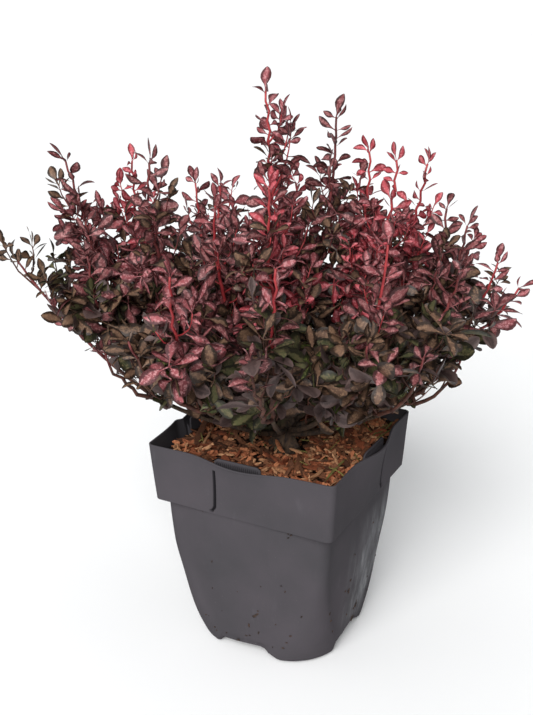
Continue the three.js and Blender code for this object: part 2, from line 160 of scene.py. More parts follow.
# The limbs
LEVEL_HEIGHTS = [9, 13, 18, 22, 25]
BOUGH_ROOT_REACH = 4.5
BOUGH_ROOT_RADIUS = 1.9
BOUGH_TIP_RADIUS = 1.35
BOUGH_SAG = 0.12
BOUGH_SIDES = 14
FORK_REACH = 0.6
FORK_RISE = 0.3
STEM_ROOT_RADIUS = 1.7
STEM_TIP_RADIUS = 0.75
STEM_SPREAD = 1.6
STEM_DIP = 0.1
STEM_SPLAY = 0.35
STEM_BEND = 0.5
TIP_LEAF_REACH = 9

# The crown's underside opens like a bowl. Leaves may pass this far into the space of the next shoot.
UNDERSIDE_FOOT = 193
UNDERSIDE_SLOPE = 0.1
UNDERSIDE_CURVE = 0.0021
UNDERSIDE_RAGGED = 5
SPUR_DROP = 10
SPACE_OVERLAP = 14
LIMB_MARGIN = 0.9

# The bearings of the photo's left and right
LEFT = -152
RIGHT = 28

# Where the underside hangs lower, or opens higher where less than 0: the bearing, how much lower,
# how much more for each unit of reach, and how narrowly it keeps to that bearing
UNDERSIDE_DIPS = [
    (-88, 17, 0, 7),
    (-64, -16, 0, 16),
    (-38, 9, 0, 20),
    (RIGHT, 23, -0.09, 4),
    (LEFT, 30, -0.13, 10),
]

# The foliage: what share of a stem is its young end, and how far apart its nodes are
YOUNG_SHARE = 0.3
YOUNG_STEP = 6.4
YOUNG_LEAVES = {"coral": 17, "rose": 20, "wine": 21, "dusky": 20, "bronze": 19}
ROSETTE_STEP = 9.4
TWIG_LENGTH = 40
TWIG_TAPER = 0.78
STEM_KINK = 0.9
STEM_WAVER = 2.4
SPUR_STEP = 7.5
SPUR_START = 0.18
TWIG_TURN = 2.2
TWIG_TIP_RADIUS = 0.35
SIDE_SHOOT_RADIUS = 0.9
SPUR_RADIUS = 0.7
FINER_RADIUS = 0.5
FINER_LENGTHS = (10, 17)
FORKED_LENGTH = 24
YOUNG_END = 0.96
YOUNG_RISE = 75

# How long leaves are at the crown's underside, and from a height over it upwards
LOW_LEAF = 27
HIGH_LEAF = 17
HIGH_LEAF_RISE = 110
GREEN_SHRINK = 0.7

# A stem is brown near the trunk and low down, up to this height and reach, and a twig up to this
# far over the underside
BROWN_HEIGHT = 262
BROWN_REACH = 132
BROWN_TWIGS = 44

# The dark zone over the underside: how deep it is inside, how deep at the crown's edge, the reach
# from which it thins, how blurred it is, and the chances of a green or pale leaf in it
LOW_ZONE = 52
LOW_ZONE_EDGE = 14
LOW_ZONE_REACH = 80
LOW_ZONE_BLUR = 13
GREEN_CHANCE = 0.12
CREAM_CHANCE = 0.03
GREEN_REACH = 105
INNER_REACH = 85

# Shoots whose tips lean from their places in the plan: bearing, reach and rise
LEANS = {0: (LEFT, 8, 0), 10: (LEFT, 11, 3)}

# Side shoots that stand out in the silhouette, by shoot: the share of the stem where each leaves it,
# its bearing, its rise for each unit outwards, and its length
SIDE_SHOOTS = {
    0: [
        (0.28, RIGHT, 1.5, 34),
        (0.42, RIGHT, 1.5, 36),
        (0.58, RIGHT, 1.4, 34),
        (0.72, RIGHT, 1.2, 30),
        (0.82, LEFT, 0.7, 30),
        (0.9, RIGHT, 1.0, 20),
    ],
    2: [
        (0.15, LEFT, 0.4, 38),
        (0.3, LEFT, 0.4, 40),
        (0.45, LEFT, 0.4, 34),
        (0.6, LEFT, 0.5, 26),
        (0.74, LEFT, 0.3, 26),
    ],
    4: [(0.6, LEFT, 0.7, 26), (0.72, LEFT, 0.7, 22)],
    5: [(0.66, RIGHT, 0.6, 24), (0.78, RIGHT, 0.6, 20)],
    6: [(0.62, RIGHT, 0.8, 24), (0.75, RIGHT, 0.7, 26)],
    7: [(0.6, RIGHT, 0.7, 28)],
    10: [(0.6, RIGHT, 1.2, 34), (0.7, RIGHT, 0.6, 26), (0.8, RIGHT, 0.6, 18)],
    18: [(0.7, RIGHT, 0.6, 22)],
}

# Shoots with a bare side: its bearing, and the share of the stem where it starts
BARE_SIDES = {10: (LEFT, 0.5)}

# Each bough leaves the trunk at a level and carries two shoots. A shoot is the bearing, reach and
# height of its tip, and the tint of its young growth. Bearings run anticlockwise from +X.
BOUGHS = [
    (0, (-152, 189, 304, "dusky"), (-132, 138, 250, "bronze")),
    (1, (-156, 158, 374, "wine"), (-145, 144, 312, "wine")),
    (2, (-172, 122, 370, "coral"), (-143, 96, 377, "wine")),
    (3, (168, 64, 352, "rose"), (-112, 64, 352, "rose")),
    (0, (-100, 122, 318, "rose"), (-117, 134, 268, "dusky")),
    (4, (-152, 3, 420, "rose"), (-74, 62, 368, "coral")),
    (4, (57, 42, 404, "wine"), (110, 60, 352, "coral")),
    (3, (56, 70, 378, "coral"), (14, 78, 379, "coral")),
    (2, (40, 106, 371, "coral"), (26, 116, 343, "wine")),
    (1, (44, 146, 322, "wine"), (27, 157, 303, "rose")),
    (0, (20, 170, 290, "rose"), (14, 134, 240, "bronze")),
    (1, (-28, 112, 338, "rose"), (-42, 140, 284, "dusky")),
    (1, (-66, 122, 330, "rose"), (-72, 146, 276, "bronze")),
    (1, (150, 138, 342, "rose"), (140, 160, 296, "dusky")),
    (0, (118, 116, 340, "rose"), (112, 158, 300, "wine")),
    (1, (84, 110, 350, "wine"), (76, 154, 306, "dusky")),
    (0, (-170, 150, 326, "wine"), (172, 144, 292, "dusky")),
    (0, (-6, 138, 316, "wine"), (-18, 130, 262, "bronze")),
]


def unit(vector):
    return vector / max(np.linalg.norm(vector), 1e-9)


def mix(low, high, share):
    return low + (high - low) * share


def smooth(share):
    """A smooth rise from 0 to 1 as share goes from 0 to 1."""
    share = np.clip(share, 0, 1)
    return share * share * (3 - 2 * share)


def hump(share, reach):
    """A smooth rise to 1 in the middle of a flat, over `reach` of its length."""
    return np.cos(np.minimum(np.abs(share) / reach, 1) * math.pi / 2) ** 2


# Pieces from arrays


def grid_faces(rows, columns, closed=True):
    """Triangles of a grid of points laid row by row. A closed grid joins its last column to its first."""
    width = columns if closed else columns - 1
    row, column = np.meshgrid(np.arange(rows - 1), np.arange(width), indexing="ij")
    following = (column + 1) % columns
    a = (row * columns + column).ravel()
    b = (row * columns + following).ravel()
    c = ((row + 1) * columns + following).ravel()
    d = ((row + 1) * columns + column).ravel()
    return np.concatenate([np.stack([a, b, c], 1), np.stack([a, c, d], 1)])


def fan_faces(ring, middle, flip=False):
    """Triangles from a ring of points to its middle point."""
    following = np.roll(ring, -1)
    middles = np.full(len(ring), middle)
    order = [following, ring, middles] if flip else [ring, following, middles]
    return np.stack(order, 1)


def closed_faces(rows, columns):
    """Triangles of a closed grid with a fan at each end. The two middle points follow the grid's own."""
    ring, count = np.arange(columns), rows * columns
    fans = [fan_faces(ring, count, flip=True), fan_faces(ring + count - columns, count + 1)]
    return np.concatenate([grid_faces(rows, columns), *fans])


def capped(rings):
    """Points and triangles of a loft through rings, each end closed to the middle of its ring."""
    middles = [rings[0].mean(axis=0), rings[-1].mean(axis=0)]
    return np.concatenate([*rings, middles]), closed_faces(len(rings), len(rings[0]))


class Batch:
    """Points and triangles that become one piece."""

    def __init__(self):
        self.points, self.faces, self.count = [], [], 0
        self.marks = {"shade": [], "rim": []}

    def add(self, points, faces, shade=0.5, rim=0.0):
        self.points.append(points)
        self.faces.append(faces + self.count)
        self.marks["shade"].append(np.broadcast_to(shade, len(points)))
        self.marks["rim"].append(np.broadcast_to(rim, len(points)))
        self.count += len(points)

    def piece(self, name, material, slot, replaced, smooth_faces=True):
        points = np.concatenate(self.points)
        faces = np.concatenate(self.faces).astype(np.int32)
        mesh = bpy.data.meshes.new(name)
        mesh.vertices.add(len(points))
        mesh.vertices.foreach_set("co", (points * MM).astype(np.float32).ravel())
        mesh.loops.add(faces.size)
        mesh.loops.foreach_set("vertex_index", faces.ravel())
        mesh.polygons.add(len(faces))
        mesh.polygons.foreach_set("loop_start", np.arange(0, faces.size, 3, dtype=np.int32))
        mesh.update(calc_edges=True)
        mesh.polygons.foreach_set("use_smooth", np.full(len(faces), smooth_faces))
        for mark, values in self.marks.items():
            attribute = mesh.attributes.new(mark, "FLOAT", "POINT")
            attribute.data.foreach_set("value", np.concatenate(values).astype(np.float32))
        mesh.materials.append(material)
        made = bpy.data.objects.new(name, mesh)
        bpy.context.scene.collection.objects.link(made)
        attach(made, "root")
        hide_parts(*replaced)


def tube(points, radii, sides):
    """Points and triangles of a closed tube along a line of points."""
    points = np.asarray(points, float)
    radii = np.asarray(radii, float)
    tangents = np.gradient(points, axis=0)
    tangents /= np.linalg.norm(tangents, axis=1)[:, None]
    across = unit(np.cross(tangents[0], [0.31, 0.87, 0.38]))
    frames = []
    for tangent in tangents:
        across = unit(across - tangent * across.dot(tangent))
        frames.append((across, np.cross(tangent, across)))
    angles = np.arange(sides) * FULL_TURN / sides
    frames = np.array(frames)[:, None]
    out = frames[:, :, 0] * np.cos(angles)[:, None] + frames[:, :, 1] * np.sin(angles)[:, None]
    rings = points[:, None] + out * radii[:, None, None]
    body = np.concatenate([rings.reshape(-1, 3), points[[0, -1]]])
    return body, closed_faces(len(points), sides)


# Seeded bumps for the shape of a mesh


class Bumps:
    """A smooth random field: a sum of sine waves in random directions."""

    def __init__(self, seed, size, waves=18):
        draw = np.random.default_rng(seed)
        directions = draw.normal(size=(waves, 3))
        directions /= np.linalg.norm(directions, axis=1)[:, None]
        self.waves = directions * (FULL_TURN / size) * draw.uniform(0.6, 1.6, (waves, 1))
        self.phases = draw.uniform(0, FULL_TURN, waves)

    def __call__(self, points):
        return np.sin(points @ self.waves.T + self.phases).sum(axis=-1) / math.sqrt(len(self.phases))


# Materials


class Nodes:
    """A material and short calls for the nodes that it is made of."""

    def __init__(self, name):
        self.material = bpy.data.materials.new(name)
        self.material.use_nodes = True
        self.tree = self.material.node_tree
        self.shader = self.tree.nodes["Principled BSDF"]
        self.output = self.tree.nodes["Material Output"]
        self.place = self.node("ShaderNodeTexCoord").outputs["Object"]

    def node(self, kind, settings=(), **sockets):
        made = self.tree.nodes.new(kind)
        for key, value in dict(settings).items():
            setattr(made, key, value)
        for key, value in sockets.items():
            self.feed(made.inputs[key.replace("_", " ")], value)
        return made

    def feed(self, socket, value):
        if isinstance(value, bpy.types.NodeSocket):
            self.tree.links.new(value, socket)
        else:
            socket.default_value = value

    def noise(self, scale, detail=3.0, roughness=0.55):
        """A noise of one scale, or of one for each axis."""
        place = self.place
        if isinstance(scale, tuple):
            place = self.node("ShaderNodeMapping", Vector=place, Scale=scale).outputs["Vector"]
            scale = 1.0
        settings = {"Scale": scale, "Detail": detail, "Roughness": roughness, "Vector": place}
        return self.node("ShaderNodeTexNoise", **settings).outputs["Fac"]

    def band(self, value, low, high, to_low=0.0, to_high=1.0):
        """A value that runs from to_low to to_high as another runs from low to high."""
        ends = {"From_Min": low, "From_Max": high, "To_Min": to_low, "To_Max": to_high}
        return self.node("ShaderNodeMapRange", Value=value, **ends).outputs["Result"]

    def blend(self, factor, low, high):
        """One colour over another, by a factor."""
        made = self.node("ShaderNodeMix", {"data_type": "RGBA"})
        self.feed(made.inputs["Factor"], factor)
        for socket, tone in zip((s for s in made.inputs if s.type == "RGBA"), (low, high)):
            self.feed(socket, colour(tone) if isinstance(tone, str) else tone)
        return next(socket for socket in made.outputs if socket.type == "RGBA")

    def patch(self, axis, start, end):
        """A ramp from 0 to 1 between two places, in metres, along an axis of the object."""
        apart = self.node("ShaderNodeSeparateXYZ", Vector=self.place)
        return self.band(apart.outputs[axis], start, end)

    def mark(self, name):
        return self.node("ShaderNodeAttribute", {"attribute_name": name}).outputs["Fac"]

    def math(self, operation, *values):
        made = self.node("ShaderNodeMath", {"operation": operation})
        for socket, value in zip(made.inputs, values):
            self.feed(socket, value)
        return made.outputs["Value"]

    def times(self, first, second):
        return self.math("MULTIPLY", first, second)

    def finish(self, tone, roughness, gloss=0.5, bumps=None, strength=0.0, height=0.0):
        """The shader's colour, roughness and gloss, and bumps of a height in metres."""
        sockets = self.shader.inputs
        self.feed(sockets["Base Color"], tone)
        self.feed(sockets["Roughness"], roughness)
        sockets["Specular IOR Level"].default_value = gloss
        if bumps is not None:
            made = self.node("ShaderNodeBump", Height=bumps, Strength=strength, Distance=height)
            self.feed(sockets["Normal"], made.outputs["Normal"])
        return self.material


def colour(hex_code):
    """A linear colour from its screen code."""
    parts = [int(hex_code[i : i + 2], 16) / 255 for i in (0, 2, 4)]
    return tuple(p / 12.92 if p <= 0.04045 else ((p + 0.055) / 1.055) ** 2.4 for p in parts) + (1.0,)


def leaf_material(name, dark, light, fleck, margin, flecks, roughness, glow):
    """A leaf: its tint, flecks of a second colour, a midrib and a blotched margin of its own."""
    nodes = Nodes(name)
    rim = nodes.mark("rim")
    # The shade mark: each leaf's own tone, lowered deep in the crown as painted shade
    base = nodes.blend(nodes.mark("shade"), dark, light)
    patches = nodes.noise(430, 4.0, 0.72)
    tinted = nodes.blend(nodes.band(patches, 0.5, 0.56, 0.0, flecks), base, fleck)
    ribbed = nodes.blend(nodes.band(rim, 0.0, 0.16, 0.4, 0.0), tinted, light)
    edge = nodes.math("MULTIPLY_ADD", nodes.noise(420, 3.0, 0.7), 1.1, rim)
    toned = nodes.blend(nodes.band(edge, 0.92, 1.2, 0.0, 0.9), ribbed, margin)
    nodes.finish(toned, roughness, 0.3, nodes.noise(520), 0.35, 0.0006)
    through = nodes.node("ShaderNodeBsdfTranslucent", Color=toned)
    both = nodes.node("ShaderNodeMixShader", Fac=glow)
    nodes.tree.links.new(nodes.shader.outputs["BSDF"], both.inputs[1])
    nodes.tree.links.new(through.outputs["BSDF"], both.inputs[2])
    nodes.tree.links.new(both.outputs["Shader"], nodes.output.inputs["Surface"])
    return nodes.material


def stem_material(name, dark, light, roughness):
    nodes = Nodes(name)
    tone = nodes.blend(nodes.band(nodes.noise(160), 0.35, 0.65), dark, light)
    return nodes.finish(tone, roughness, 0.3, nodes.noise(500), 0.3, 0.0003)


def bark_material():
    nodes = Nodes("bark")
    cracks = nodes.noise((420, 420, 120), 6.0, 0.7)
    tone = nodes.blend(nodes.band(cracks, 0.36, 0.62), "1c1413", "54402f")
    tone = nodes.blend(nodes.band(nodes.noise(70), 0.56, 0.68, 0.0, 0.45), tone, "5a5a3a")
    return nodes.finish(tone, 0.85, bumps=cracks, strength=0.7, height=0.0008)


# The rubbed patch on the pot's side that faces +X, painted paler as a reflection of the bright surroundings:
# an axis, and where the patch fades in along it, in metres
RUB_AND_SHEEN_EDGES = [(0, 0.05, 0.057), (1, -0.032, 0.014), (2, 0.115, 0.085), (2, 0.006, 0.03)]


def pot_material():
    """Dark moulded plastic with cloudy patches, pale scuffs and fine dust, a rubbed patch whose glossy
    streaks are painted paler as a reflection, and painted shade in the grooves and between the ribs.
    """
    nodes = Nodes("pot_plastic")
    tone = nodes.blend(nodes.band(nodes.noise(14, 5.0), 0.35, 0.68), "424043", "4a464a")
    scuffs = nodes.band(nodes.noise((60, 60, 16), 5.0, 0.7), 0.6, 0.74, 0.0, 0.25)
    tone = nodes.blend(scuffs, tone, "5d5b60")
    dust = nodes.band(nodes.noise(900, 2.0), 0.72, 0.8, 0.0, 0.4)
    tone = nodes.blend(dust, tone, "77736e")
    # A rubbed patch on the +X side, painted paler as a reflection of the bright surroundings
    out, across, top, foot = (nodes.patch(*edge) for edge in RUB_AND_SHEEN_EDGES)
    rub_and_sheen = nodes.times(nodes.times(out, across), nodes.times(top, foot))
    rub_and_sheen = nodes.times(rub_and_sheen, nodes.band(nodes.noise((48, 48, 26), 5.0, 0.65), 0.34, 0.6))
    tone = nodes.blend(nodes.times(rub_and_sheen, 0.55), tone, "7e7f82")
    # Glossy streaks in it: less rough, and painted paler still as a reflection
    gloss_and_sheen = nodes.times(rub_and_sheen, nodes.band(nodes.noise((210, 210, 34), 4.0, 0.6), 0.48, 0.72))
    tone = nodes.blend(nodes.times(gloss_and_sheen, 0.6), tone, "a2a3a5")
    # Painted shade: darker inside the grooves and between the label strips' ribs, by the shade mark
    tone = nodes.blend(nodes.times(nodes.mark("shade"), 0.9), tone, "131215")
    ripples = nodes.noise((70, 70, 22), 4.0)
    bumps = nodes.math("MULTIPLY_ADD", nodes.noise(1400, 2.0), 0.1, ripples)
    return nodes.finish(tone, nodes.band(gloss_and_sheen, 0.0, 1.0, 0.6, 0.35), 0.005, bumps, 0.22, 0.0012)


def chip_material(name, dark, light):
    nodes = Nodes(name)
    # The shade mark: each chip's own tone, lifted towards +X and +Y as painted light
    base = nodes.blend(nodes.mark("shade"), dark, light)
    grain = nodes.noise((700, 180, 700), 4.0, 0.6)
    tone = nodes.blend(nodes.band(grain, 0.42, 0.64, 0.0, 0.5), base, "2e1a12")
    return nodes.finish(tone, 0.85, 0.2, grain, 0.6, 0.0005)


def soil_material():
    nodes = Nodes("soil")
    crumbs = nodes.noise(260, 6.0, 0.7)
    tone = nodes.blend(nodes.band(crumbs, 0.4, 0.62), "120c09", "3f271a")
    # Painted shade: darker in the hollow round the trunk, by the shade mark that make_soil gives
    tone = nodes.blend(nodes.mark("shade"), tone, "0c0807")
    return nodes.finish(tone, 0.95, 0.1, crumbs, 0.9, 0.0015)


def dirt_material():
    nodes = Nodes("dirt")
    return nodes.finish(nodes.blend(nodes.band(nodes.noise(500), 0.4, 0.6), "1d1512", "3c2a20"), 0.95)


# The pot: a rounded square lofted up its outside and down its inside

FLAT_SHARES = np.linspace(-1, 1, 61)
GROOVE_FOOT = POT_HEIGHT - GROOVE_BOTTOM
GROOVE_HEAD = POT_HEIGHT - GROOVE_TOP


def body_ring(z, inset=0.0):
    """The body's section at z: tight corners and drawn-in flats at the top, wide corners at the base."""
    share = z / BODY_HEIGHT
    opening = max(0.0, 1 - share / CORNER_OPENING) ** 1.5
    return {
        "half": mix(BODY_BASE_HALF, BODY_TOP_HALF, share) + BODY_BOW * 4 * share * (1 - share) - inset,
        "corner": mix(BODY_TOP_CORNER, BODY_BASE_CORNER, opening) - inset,
        "tuck": BODY_TUCK * smooth(share / TUCK_RISE),
        "facet": BASE_FACET * max(0.0, 1 - share / FACET_RISE),
        "z": z,
    }


def collar_ring(z, inset=0.0):
    share = (z - BODY_HEIGHT) / COLLAR_HEIGHT
    return {
        "half": POT_WIDTH / 2 - COLLAR_DRAFT * (1 - share) - inset,
        "corner": COLLAR_CORNER - min(inset, WALL),
        "bulge": POCKET_BULGE * share * share,
        "z": z,
    }


def between_rings(low, high, share, z):
    keys = ("half", "corner", "tuck", "facet", "bulge")
    return {**{key: mix(low.get(key, 0), high.get(key, 0), share) for key in keys}, "z": z}


def groove_place(z, hand):
    """Where the groove runs at z, along a side that faces -Y."""
    return hand * mix(GROOVE_LOW_PLACE, GROOVE_HIGH_PLACE, (z - BODY_HEIGHT) / COLLAR_HEIGHT)


def side_shares(hand):
    """Places along a side, from -1 to 1, with more of them across the groove."""
    flat = POT_WIDTH / 2 - COLLAR_CORNER
    middle = hand * (GROOVE_HIGH_PLACE + GROOVE_LOW_PLACE) / 2 / flat
    reach = GROOVE_BAND / flat
    far = FLAT_SHARES[np.abs(FLAT_SHARES - middle) > reach + 0.01]
    return np.sort(np.concatenate([far, middle + np.linspace(-reach, reach, GROOVE_STEPS)]))


def ring_points(ring, groove=0.0):
    """Points round one ring, each with how much of GROOVE_DEPTH is cut there. `groove` is the most here."""
    half, corner, z = ring["half"], ring["corner"], ring["z"]
    tuck, facet, bulge, arch = (ring.get(key, 0) for key in ("tuck", "facet", "bulge", "arch"))
    flat = half - tuck - corner
    sides = []
    for side in range(4):
        hand = 1 if side % 2 else -1
        shares = side_shares(hand)
        x = shares * flat
        hook = hand * GROOVE_HOOK * smooth((GROOVE_FOOT - z) / HOOK_RISE + 1)
        away = np.abs(x - groove_place(z, hand) - hook) / GROOVE_WIDTHS[side % 2]
        sunk = (1 - smooth((away - GROOVE_FLAT) / GROOVE_SHOULDER)) * groove / GROOVE_DEPTH
        drawn = tuck * smooth((np.abs(shares) - TUCK_START) / (1 - TUCK_START))
        y = -half + drawn - bulge * hump(shares, POCKET_REACH) + GROOVE_DEPTH * sunk
        dip = POCKET_DIP * hump(shares, POCKET_REACH) * bulge / POCKET_BULGE
        flat_points = np.stack([x, y, z + arch * arch_height(x) - dip], 1)
        part = np.arange(1, CORNER_STEPS) / CORNER_STEPS
        angles = (part - 1) * math.pi / 2
        bend = np.stack([flat + corner * np.cos(angles), -flat + corner * np.sin(angles), angles * 0 + z], 1)
        chord = np.stack([flat + corner * part, -flat + corner * (part - 1), angles * 0 + z], 1)
        turn = mix(bend, chord, facet)
        turn[:, 2] += arch * np.maximum(arch_height(turn[:, 0]), arch_height(turn[:, 1]))
        points = np.concatenate([flat_points, turn])
        # How much of the groove's depth is cut here, which the pot's material paints as shade
        marks = np.concatenate([sunk, np.zeros(len(turn))])
        sides.append(np.column_stack([turned_side(points, side), marks]))
    return np.concatenate(sides)


def turned_side(points, side):
    """Points on the side that faces -Y, turned to the side counted anticlockwise from it."""
    cos, sin = [(1, 0), (0, 1), (-1, 0), (0, -1)][side]
    return points @ np.array([[cos, sin, 0], [-sin, cos, 0], [0, 0, 1]])


# The raised bottom edge in the middle of a side that faces -Y: places along it and their heights
ARCH_PLACES = [-27, -25.5, -22, -11, 9, 13, 16, 20, 25]
ARCH_HEIGHTS = [0, 4.6, 6.1, 6.3, 8.3, 7.4, 4.1, 2.3, 0]
ARCH_FADE = 15

# The resting ring, from its inside to its outside: how far it is in from the wall, and how high
FEET = [
    (BASE_REST + 1, UNDERSIDE_RISE),
    (BASE_REST, 1.2),
    (BASE_REST - 1.5, 0),
    (BASE_BEVEL, 0.2),
    (1, 1.1),
    (0.2, 1.9),
]


def arch_height(x):
    return np.interp(x, ARCH_PLACES, ARCH_HEIGHTS, left=0, right=0)


def groove_depth(z):
    """The groove's depth at z, with a soft run-out at both ends."""
    inside = (z - GROOVE_FOOT, GROOVE_HEAD - z)
    ends = [smooth((place + GROOVE_FADE) / (2 * GROOVE_FADE)) for place in inside]
    return GROOVE_DEPTH * ends[0] * ends[1]


def make_pot(material):
    rings = []

    def add(ring, groove=0.0):
        rings.append(ring_points(ring, groove))

    base = body_ring(0)
    for inset, lift in FEET:
        ring = {**base, "half": base["half"] - inset, "corner": base["corner"] - inset}
        add({**ring, "z": lift, "arch": 0 if lift == UNDERSIDE_RISE else 1 - 0.05 * lift})
    for z in (BASE_BEVEL, 4, 7, 11):
        add({**body_ring(z), "arch": smooth((ARCH_FADE - z) / (ARCH_FADE - BASE_BEVEL))})
    for z in np.linspace(ARCH_FADE + 1, BODY_HEIGHT - 3, 30):
        add(body_ring(z))
    for share in (0.0, 0.1, 0.3, 0.7, 0.9, 1.0):
        z = BODY_HEIGHT - STEP_FILLET + STEP_FILLET * share
        add(between_rings(body_ring(BODY_HEIGHT), collar_ring(BODY_HEIGHT), share, z))
    levels = [
        np.linspace(BODY_HEIGHT + STEP_FILLET, POT_HEIGHT - STEP_FILLET, 26),
        GROOVE_FOOT + np.array([-GROOVE_FADE, 0, GROOVE_FADE, 1.4, 2.2, 3, 4]),
        GROOVE_HEAD + np.array([-GROOVE_FADE, 0, GROOVE_FADE]),
    ]
    for z in np.unique(np.concatenate(levels).round(2)):
        add(collar_ring(z), groove_depth(z))
    rounding = RIM_THICKNESS / 2
    for angle in np.linspace(0, math.pi, 9):
        ring = collar_ring(POT_HEIGHT, rounding * (1 - math.cos(angle)))
        ring["z"] = POT_HEIGHT - rounding * (1 - math.sin(angle))
        add(ring)
    outer_count = len(rings)
    for z in np.linspace(POT_HEIGHT - 2, BODY_HEIGHT + 3, 16):
        add(collar_ring(z, WALL + WALL_SWELL * smooth((POT_HEIGHT - z) / 10)), groove_depth(z))
    for z in np.linspace(BODY_HEIGHT - 1, INNER_FLOOR + 1, 8):
        add(body_ring(z, WALL))
    columns = len(rings[0])
    # The fourth column paints shade into the grooves, on the outside of the wall only
    marked = np.concatenate(rings)
    marked[outer_count * columns :, 3] = 0
    points = swayed(marked[:, :3])
    points = np.concatenate([points, [[0, 0, UNDERSIDE_RISE], [0, 0, INNER_FLOOR]]])
    pot = Batch()
    pot.add(points, closed_faces(len(rings), columns), np.append(marked[:, 3], [0, 0]))
    add_label_strips(pot)
    pot.piece("pot_shell", material, "pot", ["pot"])


def swayed(points):
    """The soft waves of a thin wall, most of all at the rim."""
    sway = Bumps(3, 120)
    radial = points * [1, 1, 0]
    radial /= np.linalg.norm(radial, axis=1)[:, None]
    height = smooth((points[:, 2] - BODY_HEIGHT) / COLLAR_HEIGHT)[:, None]
    moved = points + radial * sway(points * [1, 1, 0.3])[:, None] * RIM_SWAY * height
    moved[:, 2] += RIM_WAVE * sway(points * [1, 1, 0] + 40) * height[:, 0]
    on_side = points[:, 0] < -0.9 * POT_WIDTH / 2
    kink = np.interp(points[:, 1], KINK_PLACES, KINK_PUSHES, left=0, right=0) * on_side * height[:, 0]
    moved[:, 0] -= kink
    moved[:, 2] += KINK_LIFT * kink
    return moved


def add_label_strips(batch):
    """The ribbed strip behind each label pocket: a thin upright plate with rounded ends."""
    columns = STRIP_RIBS * 6 + 1
    rows = 16
    x = np.linspace(-1, 1, columns)
    rings, marks = [], []
    for share in np.linspace(0, 1, rows):
        z = POT_HEIGHT - STRIP_HEIGHT + (STRIP_HEIGHT + STRIP_RISE) * share
        rounded = max(0.0, (share - 0.86) / 0.14)
        half = STRIP_WIDTH / 2 - STRIP_ROUNDING * (1 - math.sqrt(max(0.0, 1 - rounded**2)))
        face = -(POT_WIDTH / 2 - WALL - 0.2) + COLLAR_DRAFT * (1 - share) * 0.4
        ribbed = smooth((0.93 - share) / 0.03) * smooth((0.95 - np.abs(x)) / 0.03)
        wave = np.cos(x * STRIP_RIBS * math.pi)
        rib = RIB_DEPTH * wave * ribbed
        # Painted shade in the valleys between the ribs
        marks.append(np.concatenate([RIB_SHADE * (1 - wave) * ribbed, np.zeros(columns)]))
        outer = np.stack([x * half, face - rib - 0.2, np.full(columns, z)], 1)
        inner = np.stack([x[::-1] * half, np.full(columns, face + STRIP_THICKNESS), np.full(columns, z)], 1)
        rings.append(np.concatenate([outer, inner]))
    points, faces = capped(rings)
    marks = np.concatenate([*marks, [0, 0]])
    for side in range(4):
        batch.add(turned_side(points, side), faces, marks)


# The potting mix


def mix_height(x, y):
    reach = np.maximum(np.abs(x), np.abs(y))
    share = np.clip((reach - MIX_LEVEL_REACH) / (POT_WIDTH / 2 - MIX_LEVEL_REACH), 0, 1)
    return MIX_TOP - BED_DROP + MIX_EDGE_RISE * share**2


def hollow_at(x, y):
    """How much a place belongs to the hollow round the trunk, from 0 to 1."""
    return np.exp(-((x - HOLLOW_MIDDLE) ** 2 + y**2) / HOLLOW_REACH**2)


def round_off(x, y):
    """Places in a square of the pot's inside, with its corners drawn in to the round ones."""
    straight = MIX_HALF - MIX_CORNER
    over_x = np.maximum(np.abs(x) - straight, 0)
    over_y = np.maximum(np.abs(y) - straight, 0)
    pull = np.maximum(np.hypot(over_x, over_y) / MIX_CORNER, 1)
    kept_x = np.minimum(np.abs(x), straight) + over_x / pull
    kept_y = np.minimum(np.abs(y), straight) + over_y / pull
    return np.sign(x) * kept_x, np.sign(y) * kept_y


def make_soil(material):
    """A rough surface that fills the pot from wall to wall, with a skirt down the wall."""
    side = np.linspace(-MIX_HALF, MIX_HALF, SOIL_STEPS)
    x, y = round_off(*np.meshgrid(side, side, indexing="ij"))
    lumps, crumbs = Bumps(5, 34), Bumps(6, 9)
    flat = np.stack([x, y, x * 0], -1)
    z = mix_height(x, y) + SOIL_LUMPS * lumps(flat) + SOIL_CRUMBS * crumbs(flat)
    z -= HOLLOW_DEPTH * hollow_at(x, y)
    top = np.stack([x, y, z], -1).reshape(-1, 3)
    grid = np.arange(SOIL_STEPS**2).reshape(SOIL_STEPS, SOIL_STEPS)
    edge = np.concatenate([grid[:, 0], grid[-1, 1:], grid[-2::-1, -1], grid[0, -2:0:-1]])
    foot = top[edge] * [0.98, 0.98, 1]
    foot[:, 2] = MIX_TOP - MIX_SKIRT
    points = np.concatenate([top, foot, [[0, 0, MIX_TOP - MIX_SKIRT]]])
    ring = len(top) + np.arange(len(edge))
    following = np.roll(edge, -1)
    below = np.roll(ring, -1)
    faces = [
        grid_faces(SOIL_STEPS, SOIL_STEPS, closed=False),
        np.stack([edge, following, below], 1),
        np.stack([edge, below, ring], 1),
        fan_faces(ring, len(points) - 1, flip=True),
    ]
    soil = Batch()
    # The shade mark paints the hollow round the trunk darker, as shade
    soil.add(points, np.concatenate(faces), hollow_at(points[:, 0], points[:, 1]))
    soil.piece("soil", material, "potting_mix", ["potting_mix"])


